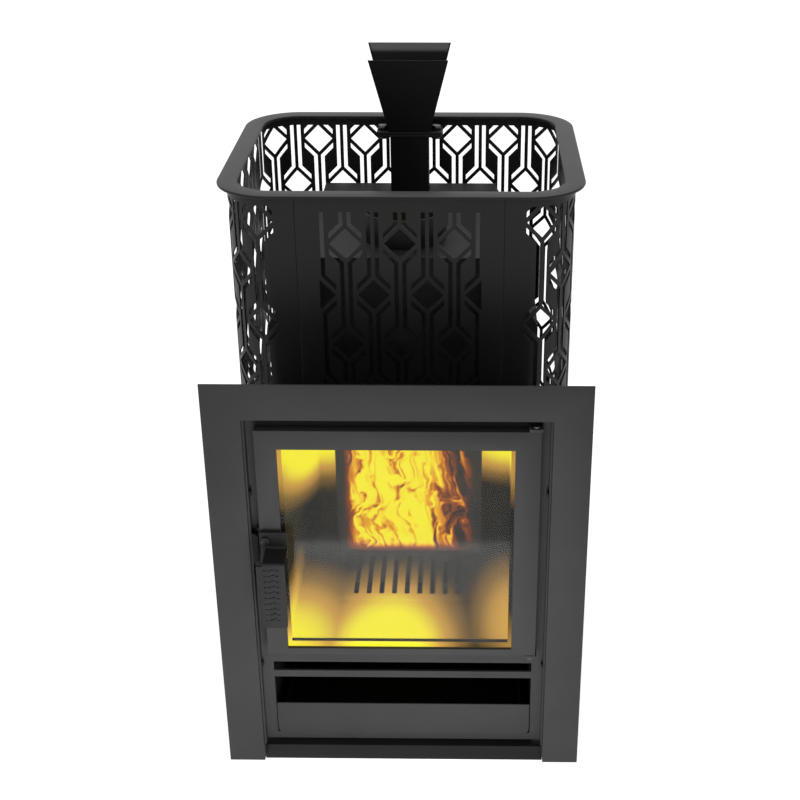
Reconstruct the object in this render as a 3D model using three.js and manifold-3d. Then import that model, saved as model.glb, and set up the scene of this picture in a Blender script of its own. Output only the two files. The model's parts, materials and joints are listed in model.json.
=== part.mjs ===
// A wood-burning sauna heater: a welded firebox with a through-wall tunnel, a glazed door, an ash drawer,
// a laser-cut stone basket, and a filler funnel over a steam box that stands in the fire.
// Millimetres, +X to the right, +Y to the rear, +Z up. y = 0 is the front face of the portal until the
// whole stove is centred at the end of the file.

import * as THREE from "three";
import { mergeVertices } from "three/addons/utils/BufferGeometryUtils.js";
import Module from "manifold-3d";

const wasm = await Module();
wasm.setup();

// Clearances
const fit = 0.3; // between pieces that slide into or past each other
const doorStandoff = 3; // free space behind the door's folded edge

// Portal facing
const portalWidth = 500;
const portalHeight = 600;
const portalBorder = 50;
const portalSheet = 2.5;
const portalReturn = 24; // depth of the fold round the inner edge
const portalLift = 3; // bottom edge above the floor
const portalScrewHeights = [165, 440];
const screwShank = 5;
const screwHead = 9;
const screwHeadHeight = 3;

// Tunnel, firebox and their plates
const bodyInset = 14; // sides inside the portal's opening
const bodyPlate = 4;
const plinthHeight = 25;
const plinthSheet = 2.5;
const plinthSetback = 8;
const plinthFlange = 52;
const frontSetback = 20; // front plate behind the portal face
const frontLip = 2.5; // sheet of the front plate's forward lips
const frontLipDepth = 14;
const tunnelDrop = 41; // tunnel roof below the portal's opening
const fireboxFront = 200;
const fireboxRear = 535;
const shoulderRise = 88; // upright walls above the tunnel roof
const shoulderRun = 53; // lean of the shoulders
const topRise = 99; // top plate above the upright walls
const topPlate = 6;
const hearthTop = 169;
const hearthPlate = 6;

// Grate and lining
const grateWidth = 180;
const grateLength = 120;
const grateCentre = 230;
const grateLap = 8;
const grateRim = 4;
const grateSlots = 9;
const grateSlotWidth = 8;
const liningThickness = 20;
const liningHeight = 250;
const liningFront = 40;
const liningRear = 520;

// Steam box, feed duct and funnel
const steamBoxWidth = 224;
const steamBoxFront = 300;
const steamBoxRise = 48; // above the tunnel roof
const steamBoxWall = 3;
const ductWidth = 58;
const ductDepth = 34;
const ductWall = 2;
const ductRearGap = 5; // from the duct to the firebox's rear wall
const ductDrop = 16; // duct's mouth below the rim
const flangeWidth = 98;
const flangeDepth = 40;
const flangePlate = 4;
const boltSpacing = 80;
const boltDiameter = 8;
const boltHead = 15;
const boltHeadHeight = 6;
const funnelBase = [62, 37];
const funnelMouth = [124, 70];
const funnelHeight = 122;
const funnelWall = 2;
const funnelFrontDrop = 12; // front plate below the rear plate
const funnelSideDrop = 46; // side plates below the rear plate

// Flue
const flueDiameter = 118;
const flueWall = 3;
const flueHeight = 41;
const flueCentre = 290;

// Front openings below the door
const drawerJamb = 18.5; // front plate beside the drawer and the air slot
const drawerOpeningBottom = 39;
const drawerOpeningHeight = 98;
const airSlotBottom = 148;
const airSlotHeight = 15;
const frontPlateBottom = 28;

// Door
const doorSideGap = 15; // to the portal's opening
const doorTopGap = 16;
const doorBottom = 189;
const doorFront = 2;
const doorSkin = 4;
const doorEdge = 2; // sheet of the folded edge
const stileLeft = 28;
const stileRight = 33;
const railTop = 27;
const railBottom = 10;
const glassThickness = 4;
const glassLap = 7.5;
const gasketThickness = 1.5;
const gasketWidth = 6;
const retainerSheet = 2;
const retainerOverlap = 5; // retainer inside the visible glass
const retainerLap = 4; // retainer past the glass edge
const sealWidth = 7.5;
const throatInset = 2; // front plate's door opening inside the seal

// Hinge on the door's right edge
const hingeInset = 7; // axis from the door's right edge
const hingeDepth = 5; // axis behind the door's face
const pinDiameter = 6;
const pinLength = 20;
const pinHead = 10;
const pinHeadHeight = 3;
const bracketWidth = 18;
const bracketPlate = 4;

// Latch on the door's left edge
const latchInset = 7.5; // shaft from the door's left edge
const latchRise = 187; // shaft above the door's lower edge
const shaftDiameter = 7;
const collarDiameter = 14;
const tonguePlate = 4;
const tongueLength = 16;
const tongueWidth = 8;
const tongueRestAngle = 40; // degrees above level while the grip hangs
const keeperSheet = 2.5;
const keeperLength = 44;
const keeperReach = 6;
const keeperTopWidth = 3;

// Grip: a bent perforated strip
const gripWidth = 37;
const gripSheet = 2;
const gripReach = 40; // from the strip's rear plate to the grip plate
const gripLength = 100;
const gripFold = 6; // side folds of the grip plate
const gripPlateHeight = 26;
const gripOffset = 10.5; // grip centre to the right of the shaft
const gripStandoff = 2; // strip's rear face in front of the door line y = 0
const bridgeCutout = 12;
const gripRows = 10;
const gripRowPitch = 8.6;
const gripHole = 4;
const gripColumnSpacing = 16;

// Ash drawer
const drawerFaceHeight = 52.5;
const drawerFaceSheet = 2.5;
const drawerFaceProud = 2;
const drawerFaceRadius = 8;
const drawerSideGap = 1;
const drawerLength = 320;
const drawerHeight = 47;
const drawerSheet = 2;
const drawerInset = 13.5; // tray inside the drawer opening
const runnerWidth = 16;
const runnerInset = 2;
const runnerLength = 315;

// Stone basket
const stoneGap = 46; // beside the firebox
const frontPocket = 49; // before the firebox
const rearGap = 14; // behind the firebox
const basketRadius = 66;
const basketSheet = 2;
const basketBottom = 60;
const shelfPlate = 4;
const panelInset = 29; // flat wrap between the front panel and the corner
const stripWidth = 24;
const stripSheet = 2;
const stripEnds = 8;
const tunnelClearance = 2;

// Top rim
const rimRise = 105; // above the firebox's top plate
const rimPlate = 4;
const rimOverhang = 13;
const rimInset = 14;
const rimEdge = 1.5;

// Lattice cut into the basket: columns of diamonds, joined by pairs of bent slots along a stem
const latticePitch = 71.5; // between diamonds in one row
const latticePeriod = 143; // between diamonds in one column
const diamondHalf = 21.25;
const latticeBand = 5.2;
const latticeSlot = 5.6;
const latticeArm = 22; // arms end this far from the column's axis
const panelMargin = 24.4; // lattice below the rim top, front panel
const panelFirstRow = 67.8;
const panelColumns = 3;
const panelFoot = 12;
const wrapFirstRow = 38;
const wrapFoot = 41;
const wrapMargin = 50; // from the wrap's front edge to its first column
const rearColumns = 6; // columns at the full pitch on each side of the middle of the rear
const wrapColumns = 18; // columns on each side in all, closed up a little round the sides

// Feet
const footDiameter = 44;
const footDisc = 6;
const footStem = 14;
const footInset = 36;

const roundSides = 24;
const smallSides = 10;
const cornerSteps = 7;

// Positions worked out from the sizes above
const frontBack = frontSetback + bodyPlate;
const portalTop = portalLift + portalHeight;
const portalInnerTop = portalTop - portalBorder;
const portalInner = portalWidth / 2 - portalBorder;
const lipOuter = portalInner - fit;
const lipInner = lipOuter - frontLip;
const bodyHalf = portalInner - bodyInset;
const bodyInner = bodyHalf - bodyPlate;
const baseTop = plinthHeight + bodyPlate;
const hearthBottom = hearthTop - hearthPlate;
const rearInner = fireboxRear - bodyPlate;
const fireboxInnerFront = fireboxFront + bodyPlate;
const tunnelTop = portalInnerTop - tunnelDrop;
const roofUnderside = tunnelTop - bodyPlate;
const shoulderHeight = tunnelTop + shoulderRise;
const fireboxTop = shoulderHeight + topRise;
const topUnderside = fireboxTop - topPlate;
const topHalf = bodyHalf - shoulderRun;
const basketHalf = bodyHalf + stoneGap;
const basketFront = fireboxFront - frontPocket;
const basketRear = fireboxRear + rearGap;
const basketDepth = basketRear - basketFront;
const rimTop = fireboxTop + rimRise;
const basketTop = rimTop - rimPlate;
const panelHalf = basketHalf - basketRadius - panelInset;
const doorHalf = portalInner - doorSideGap;
const doorTop = portalInnerTop - doorTopGap;
const doorBack = frontSetback - doorStandoff;
const glassLeft = -doorHalf + stileLeft;
const glassRight = doorHalf - stileRight;
const glassBottom = doorBottom + railBottom;
const glassTop = doorTop - railTop;
const skinBack = doorFront + doorSkin;
const glassFront = skinBack + gasketThickness;
const glassBack = glassFront + glassThickness;
const retainerBack = glassBack + retainerSheet;
const hingeX = doorHalf - hingeInset;
const hingeY = doorFront + hingeDepth;
const latchX = -doorHalf + latchInset;
const latchHeight = doorBottom + latchRise;
const drawerOpening = portalInner - drawerJamb;
const trayHalf = drawerOpening - drawerInset;
const drawerFaceFront = frontSetback - drawerFaceProud;
const drawerFaceBack = drawerFaceFront + drawerFaceSheet;
const drawerBottom = drawerOpeningBottom + fit;
const steamBoxTop = tunnelTop + steamBoxRise;
const ductTop = rimTop - ductDrop;
const ductRear = rearInner - ductRearGap;
const ductCentre = ductRear - ductDepth / 2;
const funnelBottom = ductTop + flangePlate;

const satinBlack = new THREE.MeshStandardMaterial({ color: 0x3a3b3c, roughness: 0.55, metalness: 0.4 });
const deepBlack = new THREE.MeshStandardMaterial({ color: 0x161617, roughness: 0.6, metalness: 0.3 });
const firedSteel = new THREE.MeshStandardMaterial({ color: 0x4a4744, roughness: 0.7, metalness: 0.7 });
const plainSteel = new THREE.MeshStandardMaterial({ color: 0x8b8d90, roughness: 0.35, metalness: 1 });
const castIron = new THREE.MeshStandardMaterial({ color: 0x2c2a29, roughness: 0.8, metalness: 0.5 });
const ropeFibre = new THREE.MeshStandardMaterial({ color: 0x5c5a56, roughness: 1, metalness: 0 });
const ceramicGlass = new THREE.MeshStandardMaterial({
  color: 0xd8c9a8,
  roughness: 0.05,
  metalness: 0,
  transparent: true,
  opacity: 0.35,
});

// A geometry reduced to merged positions, without the collapsed triangles at a lathe's poles.
function bare(geometry) {
  const copy = geometry.clone();
  copy.deleteAttribute("normal");
  copy.deleteAttribute("uv");
  const merged = mergeVertices(copy, 1e-4);
  const corners = merged.index.array;
  const kept = [];
  for (let i = 0; i < corners.length; i += 3) {
    const [a, b, c] = [corners[i], corners[i + 1], corners[i + 2]];
    if (a !== b && b !== c && c !== a) kept.push(a, b, c);
  }
  merged.setIndex(kept);
  return merged;
}

function solid(geometry) {
  const merged = bare(geometry);
  return new wasm.Manifold(
    new wasm.Mesh({
      numProp: 3,
      vertProperties: new Float32Array(merged.attributes.position.array),
      triVerts: new Uint32Array(merged.index.array),
    }),
  );
}

function geometryOf(manifold) {
  const mesh = manifold.getMesh();
  const geometry = new THREE.BufferGeometry();
  geometry.setAttribute("position", new THREE.BufferAttribute(mesh.vertProperties, 3));
  geometry.setIndex(new THREE.BufferAttribute(mesh.triVerts, 1));
  return geometry;
}

function join(...geometries) {
  return geometryOf(geometries.map(solid).reduce((whole, piece) => whole.add(piece)));
}

function cut(geometry, ...tools) {
  return geometryOf(tools.map(solid).reduce((rest, tool) => rest.subtract(tool), solid(geometry)));
}

function common(a, b) {
  return geometryOf(solid(a).intersect(solid(b)));
}

// Moves each vertex by a rule, so that faces meant to meet share the very same coordinates.
function remap(geometry, rule) {
  const position = geometry.attributes.position;
  for (let i = 0; i < position.count; i++)
    position.setXYZ(i, ...rule(position.getX(i), position.getY(i), position.getZ(i)));
  return geometry;
}

function block([x0, x1], [y0, y1], [z0, z1]) {
  return remap(new THREE.BoxGeometry(1, 1, 1), (x, y, z) => [
    x < 0 ? x0 : x1,
    y < 0 ? y0 : y1,
    z < 0 ? z0 : z1,
  ]);
}

function shapeOf(points, holes = []) {
  const shape = new THREE.Shape(points.map(([u, v]) => new THREE.Vector2(u, v)));
  for (const hole of holes)
    shape.holes.push(new THREE.Path(hole.map(([u, v]) => new THREE.Vector2(u, v))));
  return shape;
}

function unitPrism(points, holes) {
  return new THREE.ExtrudeGeometry(shapeOf(points, holes), { depth: 1, bevelEnabled: false });
}

// Prisms: an outline drawn in two axes and carried along the third, from low to high.
function prismZ(points, [low, high], holes) {
  return remap(unitPrism(points, holes), (u, v, w) => [u, v, w < 0.5 ? low : high]);
}

function prismY(points, [low, high], holes) {
  return remap(unitPrism(points, holes), (u, v, w) => [u, w < 0.5 ? high : low, v]);
}

function prismX(points, [low, high], holes) {
  return remap(unitPrism(points, holes), (u, v, w) => [w < 0.5 ? low : high, u, v]);
}

function rectangle(left, right, bottom, top) {
  return [
    [left, bottom],
    [right, bottom],
    [right, top],
    [left, top],
  ];
}

// A turned piece about +Z, from a profile of [radius, height] points.
function turned(profile, sides) {
  const points = profile.map(([radius, height]) => new THREE.Vector2(radius, height));
  return remap(new THREE.LatheGeometry(points, sides), (x, y, z) => [x, -z, y]);
}

function rod(diameter, [low, high], sides = smallSides) {
  return turned(
    [
      [0, low],
      [diameter / 2, low],
      [diameter / 2, high],
      [0, high],
    ],
    sides,
  );
}

const alongX = (geometry) => remap(geometry, (x, y, z) => [z, x, y]);
const alongY = (geometry) => remap(geometry, (x, y, z) => [y, z, x]);

// Points of an arc about a centre, angles in degrees.
function arc([cx, cy], radius, from, to, steps = cornerSteps) {
  return Array.from({ length: steps + 1 }, (_, i) => {
    const angle = THREE.MathUtils.degToRad(from + ((to - from) * i) / steps);
    return [cx + radius * Math.cos(angle), cy + radius * Math.sin(angle)];
  });
}

// The basket's plan outline, grown by an offset, anticlockwise from the front left corner.
function basketOutline(offset) {
  const radius = basketRadius + offset;
  const x = basketHalf - basketRadius;
  const front = basketFront + basketRadius;
  const rear = basketRear - basketRadius;
  return [
    ...arc([-x, front], radius, 180, 270),
    ...arc([x, front], radius, 270, 360),
    ...arc([x, rear], radius, 0, 90),
    ...arc([-x, rear], radius, 90, 180),
  ];
}

// A closed ring round the basket, from a section of [offset from the wall's face, height] points.
function basketRing(section) {
  const loops = section.map(([offset, height]) => basketOutline(offset).map(([x, y]) => [x, y, height]));
  const count = loops[0].length;
  const index = [];
  section.forEach((_, i) => {
    const next = (i + 1) % section.length;
    for (let j = 0; j < count; j++) {
      const k = (j + 1) % count;
      const [a, b, c, d] = [i * count + j, i * count + k, next * count + k, next * count + j];
      index.push(a, b, c, a, c, d);
    }
  });
  const geometry = new THREE.BufferGeometry();
  geometry.setAttribute("position", new THREE.Float32BufferAttribute(loops.flat(2), 3));
  geometry.setIndex(index);
  return geometry;
}

// A closed solid between two outlines with as many points each, lower and upper.
function loft(lower, upper) {
  const count = lower.length;
  const index = [];
  for (let i = 0; i < count; i++) {
    const j = (i + 1) % count;
    index.push(i, j, count + j, i, count + j, count + i);
  }
  for (let i = 1; i < count - 1; i++) {
    index.push(0, i + 1, i);
    index.push(count, count + i, count + i + 1);
  }
  const geometry = new THREE.BufferGeometry();
  geometry.setAttribute("position", new THREE.Float32BufferAttribute([...lower, ...upper].flat(), 3));
  geometry.setIndex(index);
  return geometry;
}

const stove = new THREE.Group();
const fixedPieces = new THREE.Group();
const doorPieces = new THREE.Group();
const latchPieces = new THREE.Group();
const drawerPieces = new THREE.Group();
stove.add(fixedPieces, doorPieces, drawerPieces);
doorPieces.add(latchPieces);

function piece(group, name, geometry, material) {
  const mesh = new THREE.Mesh(bare(geometry), material);
  mesh.name = name;
  group.add(mesh);
  return mesh;
}

const sides = [
  ["left", -1],
  ["right", 1],
];

// Spans mirrored to one side of the stove: near and far are distances from the middle plane.
const span = (sign, near, far) => (sign < 0 ? [-far, -near] : [near, far]);

function addBase() {
  piece(
    fixedPieces,
    "base_plate",
    block([-bodyHalf, bodyHalf], [frontBack, fireboxRear], [plinthHeight, baseTop]),
    firedSteel,
  );
  const panelBack = plinthSetback + plinthSheet;
  const flangeBottom = plinthHeight - plinthSheet;
  piece(
    fixedPieces,
    "plinth_panel",
    prismX(
      [
        [plinthSetback, 0],
        [panelBack, 0],
        [panelBack, flangeBottom],
        [plinthSetback + plinthFlange, flangeBottom],
        [plinthSetback + plinthFlange, plinthHeight],
        [plinthSetback, plinthHeight],
      ],
      [-lipOuter, lipOuter],
    ),
    deepBlack,
  );
  for (const [side, sign] of sides) {
    const foot = piece(
      fixedPieces,
      `foot_rear_${side}`,
      turned(
        [
          [0, 0],
          [footDiameter / 2, 0],
          [footDiameter / 2, footDisc],
          [footStem / 2, footDisc],
          [footStem / 2, plinthHeight],
          [0, plinthHeight],
        ],
        roundSides / 2,
      ),
      plainSteel,
    );
    foot.position.set(sign * (bodyHalf - footInset), fireboxRear - footInset, 0);
    const runnerOuter = trayHalf - runnerInset;
    piece(
      fixedPieces,
      `drawer_runner_${side}`,
      block(
        span(sign, runnerOuter - runnerWidth, runnerOuter),
        [frontBack, frontBack + runnerLength],
        [baseTop, drawerOpeningBottom],
      ),
      firedSteel,
    );
  }
}

function addFirebox() {
  for (const [side, sign] of sides) {
    piece(
      fixedPieces,
      `firebox_side_${side}`,
      prismX(
        [
          [frontBack, baseTop],
          [rearInner, baseTop],
          [rearInner, shoulderHeight],
          [fireboxInnerFront, shoulderHeight],
          [fireboxInnerFront, roofUnderside],
          [frontBack, roofUnderside],
        ],
        span(sign, bodyInner, bodyHalf),
      ),
      firedSteel,
    );
    piece(
      fixedPieces,
      `firebox_shoulder_${side}`,
      prismY(
        [
          [sign * bodyInner, shoulderHeight],
          [sign * bodyHalf, shoulderHeight],
          [sign * topHalf, topUnderside],
          [sign * (topHalf - bodyPlate), topUnderside],
        ],
        [fireboxInnerFront, rearInner],
      ),
      firedSteel,
    );
    const liningWall = span(sign, bodyInner - liningThickness, bodyInner);
    piece(
      fixedPieces,
      `lining_${side}`,
      block(liningWall, [liningFront, liningRear], [hearthTop, hearthTop + liningHeight]),
      castIron,
    );
  }
  const gable = (bottom) => [
    [-bodyHalf, bottom],
    [bodyHalf, bottom],
    [bodyHalf, shoulderHeight],
    [topHalf, topUnderside],
    [-topHalf, topUnderside],
    [-bodyHalf, shoulderHeight],
  ];
  piece(fixedPieces, "firebox_rear_wall", prismY(gable(baseTop), [rearInner, fireboxRear]), firedSteel);
  piece(
    fixedPieces,
    "firebox_front_wall",
    prismY(gable(tunnelTop), [fireboxFront, fireboxInnerFront]),
    firedSteel,
  );
  piece(
    fixedPieces,
    "tunnel_roof",
    block([-bodyHalf, bodyHalf], [frontBack, fireboxInnerFront], [roofUnderside, tunnelTop]),
    firedSteel,
  );
  const ductHole = rectangle(
    -ductWidth / 2 - fit,
    ductWidth / 2 + fit,
    ductCentre - ductDepth / 2 - fit,
    ductCentre + ductDepth / 2 + fit,
  );
  const flueHole = arc([0, flueCentre], flueDiameter / 2 - flueWall, 360, 0, roundSides).slice(1);
  piece(
    fixedPieces,
    "firebox_top_plate",
    prismZ(
      rectangle(-topHalf, topHalf, fireboxFront, fireboxRear),
      [topUnderside, fireboxTop],
      [ductHole, flueHole],
    ),
    firedSteel,
  );
  const bore = flueDiameter / 2 - flueWall;
  const spigot = piece(
    fixedPieces,
    "flue_spigot",
    turned(
      [
        [bore, fireboxTop],
        [flueDiameter / 2, fireboxTop],
        [flueDiameter / 2, fireboxTop + flueHeight],
        [bore, fireboxTop + flueHeight],
        [bore, fireboxTop],
      ],
      roundSides,
    ),
    firedSteel,
  );
  spigot.position.set(0, flueCentre, 0);
}

function addHearth() {
  const wellHalf = grateWidth / 2;
  const wellFront = grateCentre - grateLength / 2;
  const wellRear = grateCentre + grateLength / 2;
  piece(
    fixedPieces,
    "hearth_plate",
    prismZ(
      rectangle(-bodyInner, bodyInner, frontBack, rearInner),
      [hearthBottom, hearthTop],
      [rectangle(-wellHalf, wellHalf, wellFront, wellRear)],
    ),
    firedSteel,
  );
  const slotPitch = (grateWidth - grateLap) / grateSlots;
  const slots = Array.from({ length: grateSlots }, (_, i) => {
    const centre = (i - (grateSlots - 1) / 2) * slotPitch;
    return block(
      [centre - grateSlotWidth / 2, centre + grateSlotWidth / 2],
      [wellFront + grateLap, wellRear - grateLap],
      [hearthBottom - 1, hearthTop + grateRim + 1],
    );
  });
  const body = block(
    [-wellHalf + fit, wellHalf - fit],
    [wellFront + fit, wellRear - fit],
    [hearthBottom, hearthTop + grateRim],
  );
  const rim = block(
    [-wellHalf - grateLap, wellHalf + grateLap],
    [wellFront - grateLap, wellRear + grateLap],
    [hearthTop, hearthTop + grateRim],
  );
  piece(fixedPieces, "grate", cut(join(body, rim), ...slots), castIron);
}

function addSteamFeed() {
  const half = steamBoxWidth / 2;
  const innerHalf = ductWidth / 2 - ductWall;
  const innerDepth = ductDepth / 2 - ductWall;
  const outer = block([-half, half], [steamBoxFront, rearInner], [hearthTop, steamBoxTop]);
  const hollow = block(
    [-half + steamBoxWall, half - steamBoxWall],
    [steamBoxFront + steamBoxWall, rearInner - steamBoxWall],
    [hearthTop + steamBoxWall, steamBoxTop - steamBoxWall],
  );
  const passage = ([low, high]) =>
    block([-innerHalf, innerHalf], [ductCentre - innerDepth, ductCentre + innerDepth], [low, high]);
  piece(
    fixedPieces,
    "steam_box",
    cut(outer, hollow, passage([steamBoxTop - 2 * steamBoxWall, steamBoxTop + 1])),
    firedSteel,
  );

  const ductBody = block(
    [-ductWidth / 2, ductWidth / 2],
    [ductCentre - ductDepth / 2, ductCentre + ductDepth / 2],
    [steamBoxTop, ductTop],
  );
  const flange = ([low, high]) =>
    block(
      [-flangeWidth / 2, flangeWidth / 2],
      [ductCentre - flangeDepth / 2, ductCentre + flangeDepth / 2],
      [low, high],
    );
  const boltHoles = sides.map(([, sign]) =>
    rod(boltDiameter + 2 * fit, [ductTop - 2 * flangePlate, funnelBottom + 1]).translate(
      (sign * boltSpacing) / 2,
      ductCentre,
      0,
    ),
  );
  piece(
    fixedPieces,
    "feed_duct",
    cut(
      join(ductBody, flange([ductTop - flangePlate, ductTop])),
      passage([steamBoxTop - 1, ductTop + 1]),
      ...boltHoles,
    ),
    deepBlack,
  );
  piece(
    fixedPieces,
    "funnel_flange",
    cut(flange([ductTop, funnelBottom]), passage([ductTop - 1, funnelBottom + 1]), ...boltHoles),
    deepBlack,
  );
  const nutTop = ductTop - flangePlate;
  for (const [side, sign] of sides) {
    const bolt = piece(
      fixedPieces,
      `flange_bolt_${side}`,
      turned(
        [
          [0, nutTop - boltHeadHeight],
          [boltHead / 2, nutTop - boltHeadHeight],
          [boltHead / 2, nutTop],
          [boltDiameter / 2, nutTop],
          [boltDiameter / 2, funnelBottom],
          [boltHead / 2, funnelBottom],
          [boltHead / 2, funnelBottom + boltHeadHeight],
          [0, funnelBottom + boltHeadHeight],
        ],
        smallSides,
      ),
      plainSteel,
    );
    bolt.position.set((sign * boltSpacing) / 2, ductCentre, 0);
  }
  addFunnel();
}

// The funnel: four leaning plates, the front one a little and the side ones well below the rear one.
function addFunnel() {
  const ring = ([width, depth], inset, height) =>
    rectangle(
      -width / 2 + inset,
      width / 2 - inset,
      ductCentre - depth / 2 + inset,
      ductCentre + depth / 2 - inset,
    ).map(([x, y]) => [x, y, height]);
  const mouthHeight = funnelBottom + funnelHeight;
  const outer = loft(ring(funnelBase, 0, funnelBottom), ring(funnelMouth, 0, mouthHeight));
  const inner = loft(
    ring(funnelBase, funnelWall, funnelBottom),
    ring(funnelMouth, funnelWall, mouthHeight),
  );
  const reach = funnelMouth[0];
  const [, mouthDepth] = funnelMouth;
  const sideDepth = mouthDepth / 2 - 2 * funnelWall;
  const frontTrim = block(
    [-reach, reach],
    [ductCentre - mouthDepth, ductCentre],
    [mouthHeight - funnelFrontDrop, mouthHeight + 1],
  );
  const lean = (funnelMouth[1] - funnelBase[1]) / 2 / funnelHeight;
  const trimBottom = mouthHeight - funnelSideDrop;
  const trimRing = (depth, height) =>
    rectangle(-reach, reach, ductCentre - depth, ductCentre + depth).map(([x, y]) => [x, y, height]);
  const sideTrim = loft(
    trimRing(sideDepth - lean * funnelSideDrop, trimBottom),
    trimRing(sideDepth, mouthHeight + 1),
  );
  piece(fixedPieces, "funnel", cut(outer, inner, frontTrim, sideTrim), deepBlack);
}

function addFront() {
  const throat = rectangle(
    glassLeft + throatInset,
    glassRight - throatInset,
    glassBottom + throatInset,
    Math.min(glassTop, roofUnderside) - throatInset,
  );
  const airSlot = rectangle(-drawerOpening, drawerOpening, airSlotBottom, airSlotBottom + airSlotHeight);
  const drawerMouth = rectangle(
    -drawerOpening,
    drawerOpening,
    drawerOpeningBottom,
    drawerOpeningBottom + drawerOpeningHeight,
  );
  const top = portalInnerTop - fit;
  const lipFront = frontSetback - frontLipDepth;
  const plate = prismY(
    rectangle(-lipOuter, lipOuter, frontPlateBottom, top),
    [frontSetback, frontBack],
    [throat, airSlot, drawerMouth],
  );
  const lips = prismY(
    [
      [-lipOuter, frontPlateBottom],
      [-lipInner, frontPlateBottom],
      [-lipInner, top - frontLip],
      [lipInner, top - frontLip],
      [lipInner, frontPlateBottom],
      [lipOuter, frontPlateBottom],
      [lipOuter, top],
      [-lipOuter, top],
    ],
    [lipFront, frontBack],
  );
  const screwDepth = (lipFront + frontSetback) / 2;
  const screwHoles = portalScrewHeights.map((height) =>
    alongX(rod(screwShank + 2 * fit, [-portalWidth / 2, portalWidth / 2])).translate(0, screwDepth, height),
  );
  piece(fixedPieces, "front_plate", cut(join(plate, lips), ...screwHoles), satinBlack);

  const facing = (inner, outerHalf, outerTop, [front, back]) =>
    prismY(
      [
        [-outerHalf, portalLift],
        [-inner, portalLift],
        [-inner, portalInnerTop],
        [inner, portalInnerTop],
        [inner, portalLift],
        [outerHalf, portalLift],
        [outerHalf, outerTop],
        [-outerHalf, outerTop],
      ],
      [front, back],
    );
  const face = facing(portalInner, portalWidth / 2, portalTop, [0, portalSheet]);
  const foldOuter = portalInner + portalSheet;
  const fold = facing(portalInner, foldOuter, portalInnerTop + portalSheet, [0, portalReturn]);
  piece(fixedPieces, "portal_frame", cut(join(face, fold), ...screwHoles), satinBlack);

  portalScrewHeights.forEach((height, row) => {
    for (const [side, sign] of sides) {
      const screw = piece(
        fixedPieces,
        `portal_screw_${side}_${row + 1}`,
        alongX(
          turned(
            [
              [0, lipInner - screwHeadHeight],
              [screwHead / 2, lipInner - screwHeadHeight],
              [screwHead / 2, lipInner],
              [screwShank / 2, lipInner],
              [screwShank / 2, portalInner + portalSheet],
              [0, portalInner + portalSheet],
            ],
            smallSides,
          ),
        ),
        deepBlack,
      );
      screw.position.set(0, screwDepth, height);
      if (sign < 0) screw.rotation.z = Math.PI;
    }
  });
}

// The door frame: a face with the window, a rebate that holds the glass, and a folded edge.
function addDoor() {
  const outline = rectangle(-doorHalf, doorHalf, doorBottom, doorTop);
  const grown = (by) => rectangle(glassLeft - by, glassRight + by, glassBottom - by, glassTop + by);
  const face = prismY(outline, [doorFront, skinBack], [grown(0)]);
  const rebate = prismY(outline, [doorFront + doorSkin / 2, glassBack], [grown(glassLap + fit)]);
  const edge = prismY(
    outline,
    [doorFront + doorSkin / 2, doorBack],
    [rectangle(-doorHalf + doorEdge, doorHalf - doorEdge, doorBottom + doorEdge, doorTop - doorEdge)],
  );
  const pinHole = ([low, high]) => rod(pinDiameter + 2 * fit, [low, high]).translate(hingeX, hingeY, 0);
  const shaftHole = alongY(rod(shaftDiameter + 2 * fit, [0, frontSetback])).translate(latchX, 0, latchHeight);
  const tongueNotch = block(
    [-doorHalf - 1, -doorHalf + doorEdge + 1],
    [glassBack, frontSetback],
    [latchHeight - tongueWidth, latchHeight + tongueLength + tongueWidth],
  );
  piece(
    doorPieces,
    "door_frame",
    cut(
      join(face, rebate, edge),
      pinHole([doorTop - pinLength, doorTop + 1]),
      pinHole([doorBottom - 1, doorBottom + pinLength]),
      shaftHole,
      tongueNotch,
    ),
    satinBlack,
  );
  piece(doorPieces, "door_glass", prismY(grown(glassLap), [glassFront, glassBack]), ceramicGlass);
  piece(
    doorPieces,
    "glass_gasket",
    prismY(grown(gasketWidth), [skinBack, glassFront], [grown(0)]),
    ropeFibre,
  );
  const retainerOuter = rectangle(
    glassLeft - glassLap - retainerLap,
    glassRight + glassLap + retainerLap,
    doorBottom + doorEdge + fit,
    glassTop + glassLap + retainerLap,
  );
  piece(
    doorPieces,
    "glass_retainer",
    prismY(retainerOuter, [glassBack, retainerBack], [grown(-retainerOverlap)]),
    satinBlack,
  );
  piece(
    doorPieces,
    "door_seal",
    prismY(grown(sealWidth), [retainerBack, frontSetback - fit], [grown(0)]),
    ropeFibre,
  );
}

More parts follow.
